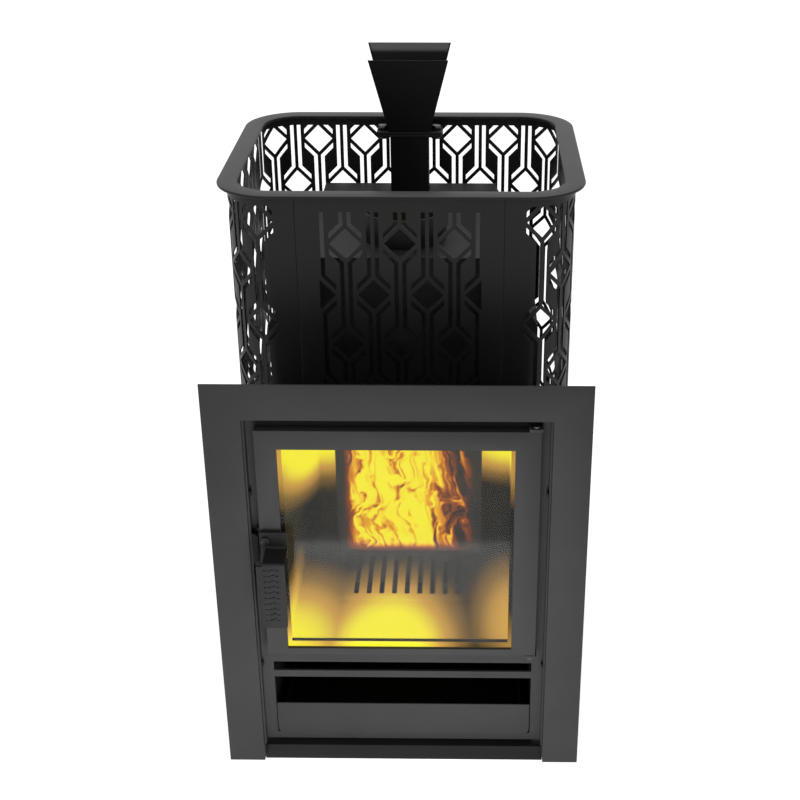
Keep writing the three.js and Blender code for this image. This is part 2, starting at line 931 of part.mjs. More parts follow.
function addHinges() {
  const reach = [doorFront - 1, frontSetback];
  const width = [hingeX - bracketWidth / 2, hingeX + bracketWidth / 2];
  const bracket = ([low, high]) =>
    cut(
      block(width, reach, [low, high]),
      rod(pinDiameter + 2 * fit, [low - 1, high + 1]).translate(hingeX, hingeY, 0),
    );
  const pin = (tip, seat, headEnd) => {
    const profile = [
      [0, tip],
      [pinDiameter / 2, tip],
      [pinDiameter / 2, seat],
      [pinHead / 2, seat],
      [pinHead / 2, headEnd],
      [0, headEnd],
    ];
    return turned(tip < headEnd ? profile : profile.reverse(), smallSides);
  };
  const upperSeat = doorTop + fit + bracketPlate;
  const lowerSeat = doorBottom - fit - bracketPlate;
  piece(fixedPieces, "hinge_bracket_upper", bracket([doorTop + fit, upperSeat]), satinBlack);
  piece(fixedPieces, "hinge_bracket_lower", bracket([lowerSeat, doorBottom - fit]), satinBlack);
  const pins = [
    ["upper", pin(doorTop - pinLength + fit, upperSeat, upperSeat + pinHeadHeight)],
    ["lower", pin(doorBottom + pinLength - fit, lowerSeat, lowerSeat - pinHeadHeight)],
  ];
  for (const [place, geometry] of pins) {
    const mesh = piece(fixedPieces, `hinge_pin_${place}`, geometry, plainSteel);
    mesh.position.set(hingeX, hingeY, 0);
  }
}

function addLatch() {
  const keeperFront = frontSetback - frontLipDepth;
  const keeperTop = latchHeight + 1;
  const keeperBottom = keeperTop - keeperLength;
  const web = block(
    [-lipInner, -lipInner + keeperSheet],
    [keeperFront, frontSetback],
    [keeperBottom, keeperTop + tongueWidth / 2],
  );
  const hook = prismY(
    [
      [-lipInner, keeperBottom],
      [-lipInner + keeperSheet + keeperReach, keeperBottom + keeperReach],
      [-lipInner + keeperSheet + keeperReach, keeperTop],
      [-lipInner + keeperTopWidth, keeperTop + tongueWidth / 2],
      [-lipInner, keeperTop + tongueWidth / 2],
    ],
    [keeperFront, keeperFront + keeperSheet],
  );
  piece(fixedPieces, "latch_keeper", join(web, hook), deepBlack);

  const stripBack = -gripStandoff;
  const stripFront = stripBack - gripSheet;
  const tongueFront = doorBack - tonguePlate;
  const shaft = piece(
    latchPieces,
    "latch_shaft",
    alongY(
      turned(
        [
          [0, stripBack],
          [collarDiameter / 2, stripBack],
          [collarDiameter / 2, doorFront - fit],
          [shaftDiameter / 2, doorFront - fit],
          [shaftDiameter / 2, tongueFront],
          [0, tongueFront],
        ],
        smallSides,
      ),
    ),
    plainSteel,
  );
  shaft.position.set(latchX, 0, latchHeight);

  const tongueHalf = tongueWidth / 2;
  const tongue = piece(
    latchPieces,
    "latch_tongue",
    prismY(
      [
        [tongueHalf, -tongueHalf],
        [tongueHalf, tongueHalf],
        [-tongueLength + tongueHalf, tongueHalf],
        [-tongueLength, 0],
        [-tongueLength, -tongueHalf],
      ],
      [tongueFront, doorBack],
    ),
    plainSteel,
  );
  tongue.position.set(latchX, 0, latchHeight);
  tongue.rotation.y = THREE.MathUtils.degToRad(tongueRestAngle);

  const bolt = piece(
    latchPieces,
    "grip_bolt",
    alongY(rod(collarDiameter, [stripFront - pinHeadHeight, stripFront], 6)),
    plainSteel,
  );
  bolt.position.set(latchX, 0, latchHeight);
  addGrip(stripBack);
}

// The grip: one perforated strip bent twice, a plate on the shaft, a bridge forwards and a plate to hold.
function addGrip(stripBack) {
  const gripX = latchX + gripOffset;
  const left = gripX - gripWidth / 2;
  const right = gripX + gripWidth / 2;
  const plateTop = latchHeight + gripPlateHeight / 2;
  const bridgeTop = latchHeight - gripPlateHeight / 2 + gripSheet;
  const bridgeBottom = bridgeTop - gripSheet;
  const gripBottom = bridgeTop - gripLength;
  const gripBack = stripBack - gripReach;
  const gripFront = gripBack - gripSheet;
  const rearPlate = block([left, right], [stripBack - gripSheet, stripBack], [bridgeBottom, plateTop]);
  const bridge = block([left + bridgeCutout, right], [gripFront, stripBack], [bridgeBottom, bridgeTop]);
  const plate = prismZ(
    [
      [left, gripBack + gripFold],
      [left, gripBack],
      [left + gripSheet, gripFront],
      [right - gripSheet, gripFront],
      [right, gripBack],
      [right, gripBack + gripFold],
      [right - gripSheet, gripBack + gripFold],
      [right - gripSheet, gripBack],
      [left + gripSheet, gripBack],
      [left + gripSheet, gripBack + gripFold],
    ],
    [gripBottom, bridgeTop],
  );
  const holes = [];
  for (let row = 0; row < gripRows; row++)
    for (const [, sign] of sides) {
      const hole = alongY(rod(gripHole, [gripFront - 1, gripBack + 1], 6));
      const height = bridgeBottom - gripRowPitch * (row + 1);
      holes.push(hole.translate(gripX + (sign * gripColumnSpacing) / 2, 0, height));
    }
  piece(latchPieces, "handle_grip", cut(join(rearPlate, bridge, plate), ...holes), deepBlack);
}

function addDrawer() {
  const half = drawerOpening - drawerSideGap;
  const faceTop = drawerBottom + drawerFaceHeight;
  const radius = drawerFaceRadius;
  piece(
    drawerPieces,
    "drawer_face",
    prismY(
      [
        ...arc([-half + radius, drawerBottom + radius], radius, 180, 270, 4),
        ...arc([half - radius, drawerBottom + radius], radius, 270, 360, 4),
        [half, faceTop],
        [-half, faceTop],
      ],
      [drawerFaceFront, drawerFaceBack],
    ),
    satinBlack,
  );
  const trayRear = drawerFaceBack + drawerLength;
  piece(
    drawerPieces,
    "drawer_tray",
    cut(
      block([-trayHalf, trayHalf], [drawerFaceBack, trayRear], [drawerBottom, drawerBottom + drawerHeight]),
      block(
        [-trayHalf + drawerSheet, trayHalf - drawerSheet],
        [drawerFaceBack + drawerSheet, trayRear - drawerSheet],
        [drawerBottom + drawerSheet, drawerBottom + drawerHeight + 1],
      ),
    ),
    firedSteel,
  );
}

// Lattice outlines about a column's axis: a diamond, and the right-hand slot between two diamonds.
const diamondAt = (height) => [
  [0, height - diamondHalf],
  [diamondHalf, height],
  [0, height + diamondHalf],
  [-diamondHalf, height],
];

function slotBetween(upper, lower) {
  const near = latticeBand / 2;
  const far = near + latticeSlot;
  const band = latticeBand * Math.SQRT2;
  const outer = band + latticeSlot * Math.SQRT2;
  const upperTip = upper - diamondHalf;
  const lowerTip = lower + diamondHalf;
  return [
    [latticeArm, upperTip + latticeArm - band],
    [near, upperTip + near - band],
    [near, lowerTip - near + band],
    [latticeArm, lowerTip - latticeArm + band],
    [latticeArm, lowerTip - latticeArm + outer],
    [far, lowerTip - far + outer],
    [far, upperTip + far - outer],
    [latticeArm, upperTip + latticeArm - outer],
  ];
}

const mirrored = (points) => points.map(([u, v]) => [-u, v]).reverse();

// The front panel carries the whole lattice, clipped to a rectangle.
function addFrontPanel() {
  const depth = [basketFront - 1, basketFront + basketSheet + 1];
  const clipHalf = (panelColumns * latticePitch) / 2;
  const clipBottom = tunnelTop + panelFoot;
  const clip = block([-clipHalf, clipHalf], depth, [clipBottom, rimTop - panelMargin]);
  const tools = [];
  for (let column = -panelColumns; column <= panelColumns; column++) {
    const x = (column * latticePitch) / 2;
    const stagger = (column + panelColumns) % 2 === 0 ? latticePeriod / 2 : 0;
    const place = (points) => common(prismY(points, depth).translate(x, 0, 0), clip);
    for (let row = -1; row < 3; row++) {
      const height = rimTop - panelFirstRow - stagger - row * latticePeriod;
      const slot = slotBetween(height, height - latticePeriod);
      for (const points of [diamondAt(height), slot, mirrored(slot)]) {
        const tool = place(points);
        if (tool.index.count > 0) tools.push(tool);
      }
    }
  }
  const panel = block(
    [-panelHalf, panelHalf],
    [basketFront, basketFront + basketSheet],
    [tunnelTop + tunnelClearance, basketTop],
  );
  piece(fixedPieces, "basket_front_panel", cut(panel, ...tools), deepBlack);
  for (const [side, sign] of sides)
    piece(
      fixedPieces,
      `seam_strip_${side}`,
      block(
        span(sign, panelHalf - stripWidth / 2, panelHalf + stripWidth / 2),
        [basketFront + basketSheet, basketFront + basketSheet + stripSheet],
        [tunnelTop + stripEnds, basketTop - stripEnds],
      ),
      deepBlack,
    );
}

// Place and outward direction at a distance round the basket, from the middle of the rear to the left.
function wrapFrame(distance) {
  const rearFlat = basketHalf - basketRadius;
  const bend = (basketRadius * Math.PI) / 2;
  const sideFlat = basketDepth - 2 * basketRadius;
  const rearCentre = [-rearFlat, basketRear - basketRadius];
  const frontCentre = [-rearFlat, basketFront + basketRadius];
  const round = ([cx, cy], angle) => ({
    x: cx + basketRadius * Math.cos(angle),
    y: cy + basketRadius * Math.sin(angle),
    angle,
  });
  if (distance < rearFlat) return { x: -distance, y: basketRear, angle: Math.PI / 2 };
  let along = distance - rearFlat;
  if (along < bend) return round(rearCentre, Math.PI / 2 + along / basketRadius);
  along -= bend;
  if (along < sideFlat) return { x: -basketHalf, y: rearCentre[1] - along, angle: Math.PI };
  along -= sideFlat;
  if (along < bend) return round(frontCentre, Math.PI + along / basketRadius);
  return { x: -rearFlat + along - bend, y: basketFront, angle: 1.5 * Math.PI };
}

// The straight parts of the two slots above a diamond, kept below a top.
function stemSlots(height, top) {
  const near = latticeBand / 2;
  const far = near + latticeSlot;
  const reach = diamondHalf + latticeBand * Math.SQRT2 - (near + far) / 2;
  const range = [height + reach, Math.min(top, height + latticePeriod - reach)];
  if (range[1] < range[0]) return [];
  return sides.map(([, sign]) => rectangle(...span(sign, near, far), ...range));
}

// The wrap: one sheet bent round both sides and the rear, with rows of diamonds and stem slots cut in it.
function addWrap() {
  const plan = (offset) => {
    const corners = basketOutline(offset);
    const loop = [...corners.slice(cornerSteps + 1), ...corners.slice(0, cornerSteps + 1)];
    const front = basketFront - offset;
    return [[panelHalf, front], ...loop, [-panelHalf, front]];
  };
  const outline = [...plan(0), ...plan(-basketSheet).reverse()];
  const sheet = prismZ(outline, [basketBottom, basketTop]);
  const notch = block(
    [-bodyHalf - tunnelClearance, bodyHalf + tunnelClearance],
    [basketFront - 1, fireboxFront],
    [basketBottom - 1, tunnelTop + tunnelClearance],
  );
  const flats = 2 * (basketHalf - basketRadius) + basketDepth - 2 * basketRadius;
  const lastDistance = flats + Math.PI * basketRadius - panelHalf - wrapMargin;
  const rearDistance = (rearColumns * latticePitch) / 2;
  const sidePitch = (lastDistance - rearDistance) / (wrapColumns - rearColumns);
  const distanceTo = (count) =>
    count < rearColumns ? (count * latticePitch) / 2 : rearDistance + (count - rearColumns) * sidePitch;
  const latticeTop = rimTop - wrapFirstRow + diamondHalf;
  const tools = [notch];
  for (let column = -wrapColumns; column <= wrapColumns; column++) {
    const count = Math.abs(column);
    const { x, y, angle } = wrapFrame(distanceTo(count));
    const open = (points) => {
      const tool = prismX(points, [-4 * basketSheet, 3 * basketSheet]);
      tool.rotateZ(angle);
      tool.translate(x, y, 0);
      tools.push(column < 0 ? mirroredSolid(tool) : tool);
    };
    const stagger = count % 2 === 0 ? 0 : latticePeriod / 2;
    const foot = count === wrapColumns ? tunnelTop + panelFoot : basketBottom + wrapFoot;
    const first = rimTop - wrapFirstRow - stagger;
    for (let height = first; height - diamondHalf > foot; height -= latticePeriod)
      for (const points of [diamondAt(height), ...stemSlots(height, latticeTop)]) open(points);
  }
  piece(fixedPieces, "basket_wrap", cut(sheet, ...tools), deepBlack);
}

// A solid mirrored left to right, with its triangles turned to face outwards again.
function mirroredSolid(geometry) {
  const merged = bare(remap(geometry, (x, y, z) => [-x, y, z]));
  const corners = Array.from(merged.index.array);
  for (let i = 0; i < corners.length; i += 3)
    [corners[i + 1], corners[i + 2]] = [corners[i + 2], corners[i + 1]];
  merged.setIndex(corners);
  return merged;
}

function addShelves() {
  const outline = basketOutline(0);
  const along = Math.sqrt(basketRadius ** 2 - (bodyHalf - basketHalf + basketRadius) ** 2);
  const nearFront = basketFront + basketRadius - along;
  const nearRear = basketRear - basketRadius + along;
  const height = [basketBottom - shelfPlate, basketBottom];
  for (const [side, sign] of sides) {
    const outer = outline.filter(([x]) => sign * x > bodyHalf);
    const ordered = outer.sort((a, b) => a[1] - b[1]);
    const points = [[sign * bodyHalf, nearFront], ...ordered, [sign * bodyHalf, nearRear]];
    piece(
      fixedPieces,
      `stone_shelf_${side}`,
      prismZ(sign > 0 ? points : points.reverse(), height),
      firedSteel,
    );
  }
  const rear = outline.filter(([x, y]) => Math.abs(x) < bodyHalf && y > fireboxRear);
  const rearPoints = [
    [-bodyHalf, fireboxRear],
    [bodyHalf, fireboxRear],
    [bodyHalf, nearRear],
    ...rear,
    [-bodyHalf, nearRear],
  ];
  piece(fixedPieces, "stone_shelf_rear", prismZ(rearPoints, height), firedSteel);
}

function addRim() {
  const inner = -rimInset;
  piece(
    fixedPieces,
    "top_rim",
    basketRing([
      [inner, basketTop + rimEdge],
      [inner + rimEdge, basketTop],
      [rimOverhang - rimEdge, basketTop],
      [rimOverhang, basketTop + rimEdge],
      [rimOverhang, rimTop - rimEdge],
      [rimOverhang - rimEdge, rimTop],
      [inner + rimEdge, rimTop],
      [inner, rimTop - rimEdge],
    ]),
    satinBlack,
  );
}

addBase();
addFirebox();
addHearth();
addSteamFeed();
addFront();
addDoor();
addHinges();
addLatch();
addDrawer();
addFrontPanel();
addWrap();
addShelves();
addRim();

// The origin is on the floor, midway between the grip's face and the rim's rear edge.
const frontmost = -gripStandoff - gripReach - gripSheet;
const rearmost = basketRear + rimOverhang;
stove.position.y = -(frontmost + rearmost) / 2;

export default stove;
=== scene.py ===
"""Fine shapes and finishes of a wood-burning sauna heater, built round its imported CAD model."""

import json
import math
from collections import namedtuple

import bmesh
import bpy
import numpy as np
from bpy.props import FloatProperty, FloatVectorProperty, IntProperty, PointerProperty
from mathutils.geometry import delaunay_2d_cdt
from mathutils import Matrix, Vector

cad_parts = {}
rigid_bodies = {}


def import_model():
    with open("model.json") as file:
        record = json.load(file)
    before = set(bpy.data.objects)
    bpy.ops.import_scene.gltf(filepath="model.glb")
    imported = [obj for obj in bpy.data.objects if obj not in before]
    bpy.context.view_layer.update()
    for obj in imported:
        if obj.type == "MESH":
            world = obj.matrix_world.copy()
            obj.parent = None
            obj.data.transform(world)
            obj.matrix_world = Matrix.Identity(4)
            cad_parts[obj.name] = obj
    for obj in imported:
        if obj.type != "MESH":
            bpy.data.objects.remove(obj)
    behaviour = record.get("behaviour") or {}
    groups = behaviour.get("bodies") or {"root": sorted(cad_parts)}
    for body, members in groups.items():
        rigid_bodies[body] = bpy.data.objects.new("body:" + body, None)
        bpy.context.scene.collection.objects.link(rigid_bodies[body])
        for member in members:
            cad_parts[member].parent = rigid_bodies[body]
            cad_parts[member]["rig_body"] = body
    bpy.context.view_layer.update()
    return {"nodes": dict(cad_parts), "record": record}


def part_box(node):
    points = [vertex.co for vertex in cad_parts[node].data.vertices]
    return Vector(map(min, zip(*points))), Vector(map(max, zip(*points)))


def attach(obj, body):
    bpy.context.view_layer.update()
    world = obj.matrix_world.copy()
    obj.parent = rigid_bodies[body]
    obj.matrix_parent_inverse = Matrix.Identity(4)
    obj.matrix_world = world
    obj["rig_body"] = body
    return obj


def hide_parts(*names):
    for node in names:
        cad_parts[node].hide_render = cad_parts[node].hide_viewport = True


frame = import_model()

bl_info = {
    "name": "Sauna heater",
    "version": (1, 0, 0),
    "blender": (4, 5, 0),
    "location": "View3D > Sidebar > Sauna heater",
    "description": "Dresses the CAD model of a sauna heater with its lattice, fittings, paint and fire",
    "category": "Object",
}

IMAGE_SIDE = 800
SENSOR = 36.0
MM = 0.001
MERGE_DISTANCE = 1e-6
FLAT_ANGLE = math.radians(1.0)
EDGE_ANGLE = math.radians(40.0)
SIDES = ("left", "right")

# Patch of firelight: an egg about a centre, leaning down towards the rear by its slope
Glow = namedtuple("Glow", "centre axes slope strength")
# Square soft box, with its side in metres and its power in watts
Lamp = namedtuple("Lamp", "name place target side power")


def length(name, description, default):
    """A length property in metres, given in millimetres."""
    return FloatProperty(name=name, description=description, default=default * MM, unit="LENGTH", precision=5)


def colour(name, description, default):
    """A linear colour property."""
    return FloatVectorProperty(
        name=name, description=description, default=default, subtype="COLOR", size=3, min=0, max=1
    )


class BasketSizes(bpy.types.PropertyGroup):
    """Stone basket: bends, and the lattice of diamonds and bent slots cut in its sheets."""

    radius: length("Corner radius", "Bend of the basket's corners, on the outside", 66)
    sheet: length("Sheet", "Thickness of the basket's sheets", 2)
    roll: length("Edge roll", "Rounding of the front panel's upright edges", 1.2)
    pitch: length("Pitch", "Distance between diamonds in one row", 71.5)
    period: length("Period", "Distance between diamonds in one column", 143)
    diamond: length("Diamond", "Half the diagonal of a diamond", 21.25)
    band: length("Band", "Metal left between a diamond and its slots", 5.2)
    slot: length("Slot", "Width of the bent slots", 5.6)
    arm: length("Arm", "Reach of a slot's arms from the column's axis", 22)
    panel_columns: IntProperty(name="Panel columns", description="Panel's columns each side", default=3)
    panel_half: length("Panel lattice", "Half the width of the front panel's lattice", 107.25)
    panel_margin: length("Panel margin", "Front panel's lattice below the rim", 24.4)
    panel_row: length("Panel row", "Front panel's first row of diamonds below the rim", 67.8)
    panel_foot: length("Panel foot", "Lattice above the tunnel roof", 12)
    wrap_row: length("Wrap row", "Wrap's first row of diamonds below the rim", 38)
    wrap_margin: length("Wrap margin", "From the wrap's front edge to its first column", 50)
    rear_columns: IntProperty(name="Rear columns", description="Columns at full pitch each side", default=6)
    wrap_columns: IntProperty(name="Wrap columns", description="Columns each side in all", default=18)


class FittingSizes(bpy.types.PropertyGroup):
    """Rim, grip and small round fittings."""

    rim_edge: length("Rim edge", "Rounding of the rim's edges", 1.9)
    rim_inside: length("Rim inside", "Further reach of the rim inside the wall than outside it", 1)
    bevel: length("Bevel", "Rounding of folded and sawn sheet edges", 0.8)
    grip_bend: length("Grip bend", "Bend radius of the grip's strip", 4)
    grip_hole: length("Grip hole", "Diameter of the grip's holes", 4)
    grip_pitch: length("Grip pitch", "Distance between the grip's rows of holes", 8.6)
    grip_columns: length("Grip columns", "Distance between the grip's two columns of holes", 16)
    grip_wave: length("Grip wave", "Height of the wavy slots' waves", 1.3)
    grip_slit: length("Grip slit", "Width of the wavy slots", 1.3)
    grip_sheet: length("Grip sheet", "Thickness of the grip's strip", 2)
    grip_length: length("Grip length", "Height of the grip's hanging plate", 100)
    grip_cutout: length("Grip cutout", "Notch at the left of the grip's bridge", 8)
    grip_fold: length("Grip fold", "Depth of the grip's side folds", 6)


class Finishes(bpy.types.PropertyGroup):
    """Colours of the stove's paints and metals."""

    paint: colour("Paint", "Satin charcoal heatproof paint", (0.032, 0.032, 0.0325))
    dark_paint: colour("Dark paint", "Paint on the basket, funnel and grip", (0.0065, 0.0065, 0.0067))
    steel: colour("Fired steel", "Steel plate of the firebox", (0.030, 0.029, 0.028))
    zinc: colour("Plain steel", "Pins, bolts, shaft and feet", (0.11, 0.11, 0.115))
    iron: colour("Cast iron", "Grate, hearth and lining plates", (0.010, 0.010, 0.010))
    fibre: colour("Rope fibre", "Door seal and glass gasket", (0.10, 0.097, 0.09))
    # Near black: the ash tray and the plates round it are coloured near black.
    near_black: colour("Blackest", "Darkest steel of the ash tray and the plates round it", (0.004, 0.004, 0.004))
    glass: colour("Glass", "Tint of the ceramic glass", (0.03, 0.03, 0.03))
    glass_cover: FloatProperty(
        name="Glass cover", description="How far the glass hides the fire", default=0.24, subtype="FACTOR"
    )


class FireColours(bpy.types.PropertyGroup):
    """Colours of the fire, from its smoke to its heart, and its strength."""

    smoke: colour("Smoke", "Unlit ground behind the fire", (0.012, 0.012, 0.013))
    ember: colour("Ember", "Outer flames", (0.30, 0.055, 0.004))
    flame: colour("Flame", "Body of the flames", (0.85, 0.32, 0.008))
    heart: colour("Heart", "Brightest flames", (1.0, 0.90, 0.025))
    glow: colour("Glow", "Edge of the light on the hearth and walls", (0.62, 0.34, 0.05))
    strength: FloatProperty(name="Strength", description="Brightness of the fire", default=1.5)


class StageSettings(bpy.types.PropertyGroup):
    """Camera and light."""

    focal: FloatProperty(name="Focal length", description="Camera lens", default=64.06, unit="CAMERA")
    pitch: FloatProperty(
        name="Pitch", description="Camera below level", default=math.radians(26.78), subtype="ANGLE"
    )
    yaw: FloatProperty(
        name="Yaw", description="Camera turned to its left", default=math.radians(0.69), subtype="ANGLE"
    )
    before: length("Distance", "Camera in front of the portal", 1613.3)
    height: length("Height", "Camera above the floor", 1369.6)
    aside: length("Aside", "Camera right of the middle", 89.5)
    centre_u: FloatProperty(name="Centre u", description="Image column of the lens axis", default=452)
    centre_v: FloatProperty(name="Centre v", description="Image row of the lens axis", default=420)
    ambient: FloatProperty(name="Ambient", description="Light from the white room", default=0.5)


class HeaterSettings(bpy.types.PropertyGroup):
    """Everything that a user would change."""

    basket: PointerProperty(type=BasketSizes)
    fittings: PointerProperty(type=FittingSizes)
    finishes: PointerProperty(type=Finishes)
    fire: PointerProperty(type=FireColours)
    stage: PointerProperty(type=StageSettings)


def settings():
    """The settings stored on the scene."""
    return bpy.context.scene.sauna_heater


class Socket:
    """One output of a material's node; arithmetic on it adds Math nodes to the material."""

    def __init__(self, paint, socket):
        self.paint = paint
        self.socket = socket

    def maths(self, operation, *values):
        """A Math node of this operation on the given values or sockets."""
        return self.paint.node("ShaderNodeMath", {"operation": operation}, dict(enumerate(values)))

    def __add__(self, other):
        return self.maths("ADD", self, other)

    __radd__ = __add__

    def __sub__(self, other):
        return self.maths("SUBTRACT", self, other)

    def __rsub__(self, other):
        return self.maths("SUBTRACT", other, self)

    def __mul__(self, other):
        return self.maths("MULTIPLY", self, other)

    __rmul__ = __mul__

    def __truediv__(self, other):
        return self.maths("DIVIDE", self, other)

    def absolute(self):
        """The value without its sign."""
        return self.maths("ABSOLUTE", self)

    def larger(self, other):
        """The larger of the two values."""
        return self.maths("MAXIMUM", self, other)

    def rises(self, low, high):
        """0 below low, 1 above high, smooth between."""
        return self.paint.node(
            "ShaderNodeMapRange",
            {"interpolation_type": "SMOOTHSTEP"},
            {"Value": self, "From Min": low, "From Max": high},
        )


class Paint:
    """A node tree under construction, of a material or the world."""

    def __init__(self, owner):
        self.owner = owner
        owner.use_nodes = True
        self.tree = owner.node_tree
        self.tree.nodes.clear()

    def node(self, kind, choices=None, inputs=None, output=0):
        """Adds a node: its choices are set first, then its sockets are given values or links."""
        made = self.tree.nodes.new(kind)
        for key, value in (choices or {}).items():
            if key == "stops":
                self.set_stops(made.color_ramp, value)
            else:
                setattr(made, key, value)
        for key, value in (inputs or {}).items():
            if isinstance(value, Socket):
                self.tree.links.new(value.socket, made.inputs[key])
            else:
                made.inputs[key].default_value = value
        return Socket(self, made.outputs[output]) if made.outputs else None

    @staticmethod
    def set_stops(ramp, stops):
        """Gives a colour ramp its (position, colour) stops."""
        while len(ramp.elements) < len(stops):
            ramp.elements.new(1.0)
        for element, (position, shade) in zip(ramp.elements, stops):
            element.position = position
            element.color = (*shade, 1.0)

    def place(self):
        """Object coordinates, as x, y and z values."""
        spot = self.node("ShaderNodeTexCoord", output=3)
        parts = self.node("ShaderNodeSeparateXYZ", inputs={0: spot}).socket.node.outputs
        return spot, [Socket(self, part) for part in parts]

    def point(self, x, y, z):
        """Three values as one vector."""
        return self.node("ShaderNodeCombineXYZ", inputs={0: x, 1: y, 2: z})

    def noise(self, spot, scale, detail=3.0, roughness=0.5):
        """Smooth noise from 0 to 1."""
        return self.node(
            "ShaderNodeTexNoise",
            inputs={"Vector": spot, "Scale": scale, "Detail": detail, "Roughness": roughness},
        )

    def ramp(self, value, stops):
        """A colour read from a ramp."""
        return self.node("ShaderNodeValToRGB", {"stops": stops}, {0: value})

    def bump(self, height, strength, distance):
        """A normal that leans with a height."""
        return self.node(
            "ShaderNodeBump", inputs={"Height": height, "Strength": strength, "Distance": distance}
        )

    def grain(self, spot):
        """The fine grain of sprayed paint, as a normal."""
        return self.bump(self.noise(spot, 1400.0, 2.0), 0.05, 0.2 * MM)

    def mottled(self, spot, tone, scale, lightest):
        """A plate's colour, in patches from darker than its tone to the lightest."""
        patches = self.noise(spot, scale, 4.0)
        return self.ramp(patches, [(0.3, shade(tone, 0.7)), (0.7, shade(tone, lightest))])

    def finish(self, inputs):
        """Ends the material in a Principled BSDF."""
        shader = self.node("ShaderNodeBsdfPrincipled", inputs=inputs)
        self.node("ShaderNodeOutputMaterial", inputs={"Surface": shader})
        return self.owner


def new_paint(name):
    """An empty material to paint."""
    return Paint(bpy.data.materials.new(name))


def shade(value, factor):
    """A linear colour made lighter or darker."""
    return tuple(min(1.0, part * factor) for part in value)


def satin_paint(name, tone, roughness, gloss):
    """Heatproof paint: a fine even grain, with patches that are a little duller than the rest."""
    paint = new_paint(name)
    spot, _ = paint.place()
    patches = paint.noise(spot, 9.0, 4.0)
    tint = paint.ramp(patches, [(0.3, shade(tone, 0.9)), (0.7, shade(tone, 1.1))])
    return paint.finish(
        {
            "Base Color": tint,
            "Roughness": roughness - 0.04 + 0.08 * patches,
            "Specular IOR Level": gloss,
            "Normal": paint.grain(spot),
        }
    )


def funnel_paint_with_painted_light(name, tone, painted_lit_tone, rear):
    """Dark paint on the funnel, with painted light on its rear plate: the rear plate is coloured lighter for
    the light on it.
    """
    paint = new_paint(name)
    spot, (_, y, _) = paint.place()
    # Painted light: from just in front of the rear plate's face backwards, the funnel takes the lighter
    # colour.
    painted_light_mask = y.rises(rear - 4 * MM, rear - 3 * MM)
    return paint.finish(
        {
            "Base Color": paint.ramp(painted_light_mask, [(0.0, tone), (1.0, painted_lit_tone)]),
            "Roughness": 0.5,
            "Specular IOR Level": 0.1,
            "Normal": paint.grain(spot),
        }
    )


def fired_steel(name, tone):
    """Bare plate that has been through the fire: mottled and dull."""
    paint = new_paint(name)
    spot, _ = paint.place()
    mottle = paint.noise(spot, 22.0, 6.0, 0.6)
    tint = paint.ramp(mottle, [(0.3, shade(tone, 0.6)), (0.55, tone), (0.75, shade(tone, 1.5))])
    return paint.finish({"Base Color": tint, "Roughness": 0.45 + 0.25 * mottle, "Metallic": 0.7})


def plain_steel(name, tone):
    """Turned and plated steel with fine lathe lines."""
    paint = new_paint(name)
    spot, _ = paint.place()
    lines = paint.noise(spot, 500.0, 2.0)
    return paint.finish({"Base Color": (*tone, 1.0), "Roughness": 0.26 + 0.12 * lines, "Metallic": 1.0})


def rope_fibre(name, tone):
    """Woven glass-fibre rope."""
    paint = new_paint(name)
    spot, _ = paint.place()
    weave = paint.node("ShaderNodeTexVoronoi", inputs={"Vector": spot, "Scale": 420.0})
    tint = paint.ramp(weave, [(0.0, shade(tone, 1.3)), (1.0, shade(tone, 0.5))])
    return paint.finish({"Base Color": tint, "Roughness": 0.95, "Normal": paint.bump(weave, 0.6, 0.6 * MM)})


def ceramic_glass(name, tone, cover):
    """Smoky ceramic glass, thin enough to see the fire through."""
    paint = new_paint(name)
    return paint.finish({"Base Color": (*tone, 1.0), "Roughness": 0.06, "Alpha": cover})


def fire_stops(fire):
    """The fire's colours from smoke to heart."""
    return [
        (0.0, fire.smoke),
        (0.26, fire.ember),
        (0.45, fire.flame),
        (0.68, fire.heart),
        (1.0, fire.heart),
    ]


def flame_panel(name, tone, fire, box):
    """Flames on the front of the steam box: upright tongues of warped noise, fading to a window's edge.

    A tongue is hottest along its ridge, where a noise that is stretched upwards passes its middle. A finer
    noise licks at it, and the heat falls with the square of the distance from the fire's middle.
    """
    low, high = box
    window_share = 0.88
    fire_aside = -0.25
    middle = (low[0] + high[0]) / 2
    half = window_share * (high[0] - low[0]) / 2
    paint = new_paint(name)
    spot, (x, y, z) = paint.place()
    across = (x - middle) / half
    warp = paint.noise(spot, 14.0, 3.0)
    sway = paint.noise(paint.point(x, 0.0, z * 0.5), 7.0, 2.0)
    tongue_x = x * 36.0 + warp * 4.4 + sway * 3.0
    tongue_z = z * 8.0 - warp * 3.2
    tongues = paint.noise(paint.point(tongue_x, 0.0, tongue_z), 1.0, 5.0, 0.58)
    licks = paint.noise(paint.point(tongue_x * 2.3, 0.0, tongue_z * 2.1 + 7.0), 1.0, 5.0, 0.62)
    ridge = 1.0 - (tongues * 2.0 - 1.0).absolute() * 3.2
    aside = across - fire_aside
    fall = (aside * aside).rises(0.05, 1.1)
    heat = ridge * 0.30 + (licks - 0.43) * 2.2 + 0.30 - fall * 0.55
    window = across.absolute().rises(1.05, 0.80) * z.rises(low[2] + MM, low[2] + 22 * MM)
    front = (y - low[1]).rises(2 * MM, MM)
    return paint.finish(
        {
            "Base Color": paint.mottled(spot, tone, 18.0, 1.2),
            "Roughness": 0.7,
            "Emission Color": paint.ramp(heat * window * front, fire_stops(fire)),
            "Emission Strength": fire.strength,
        }
    )


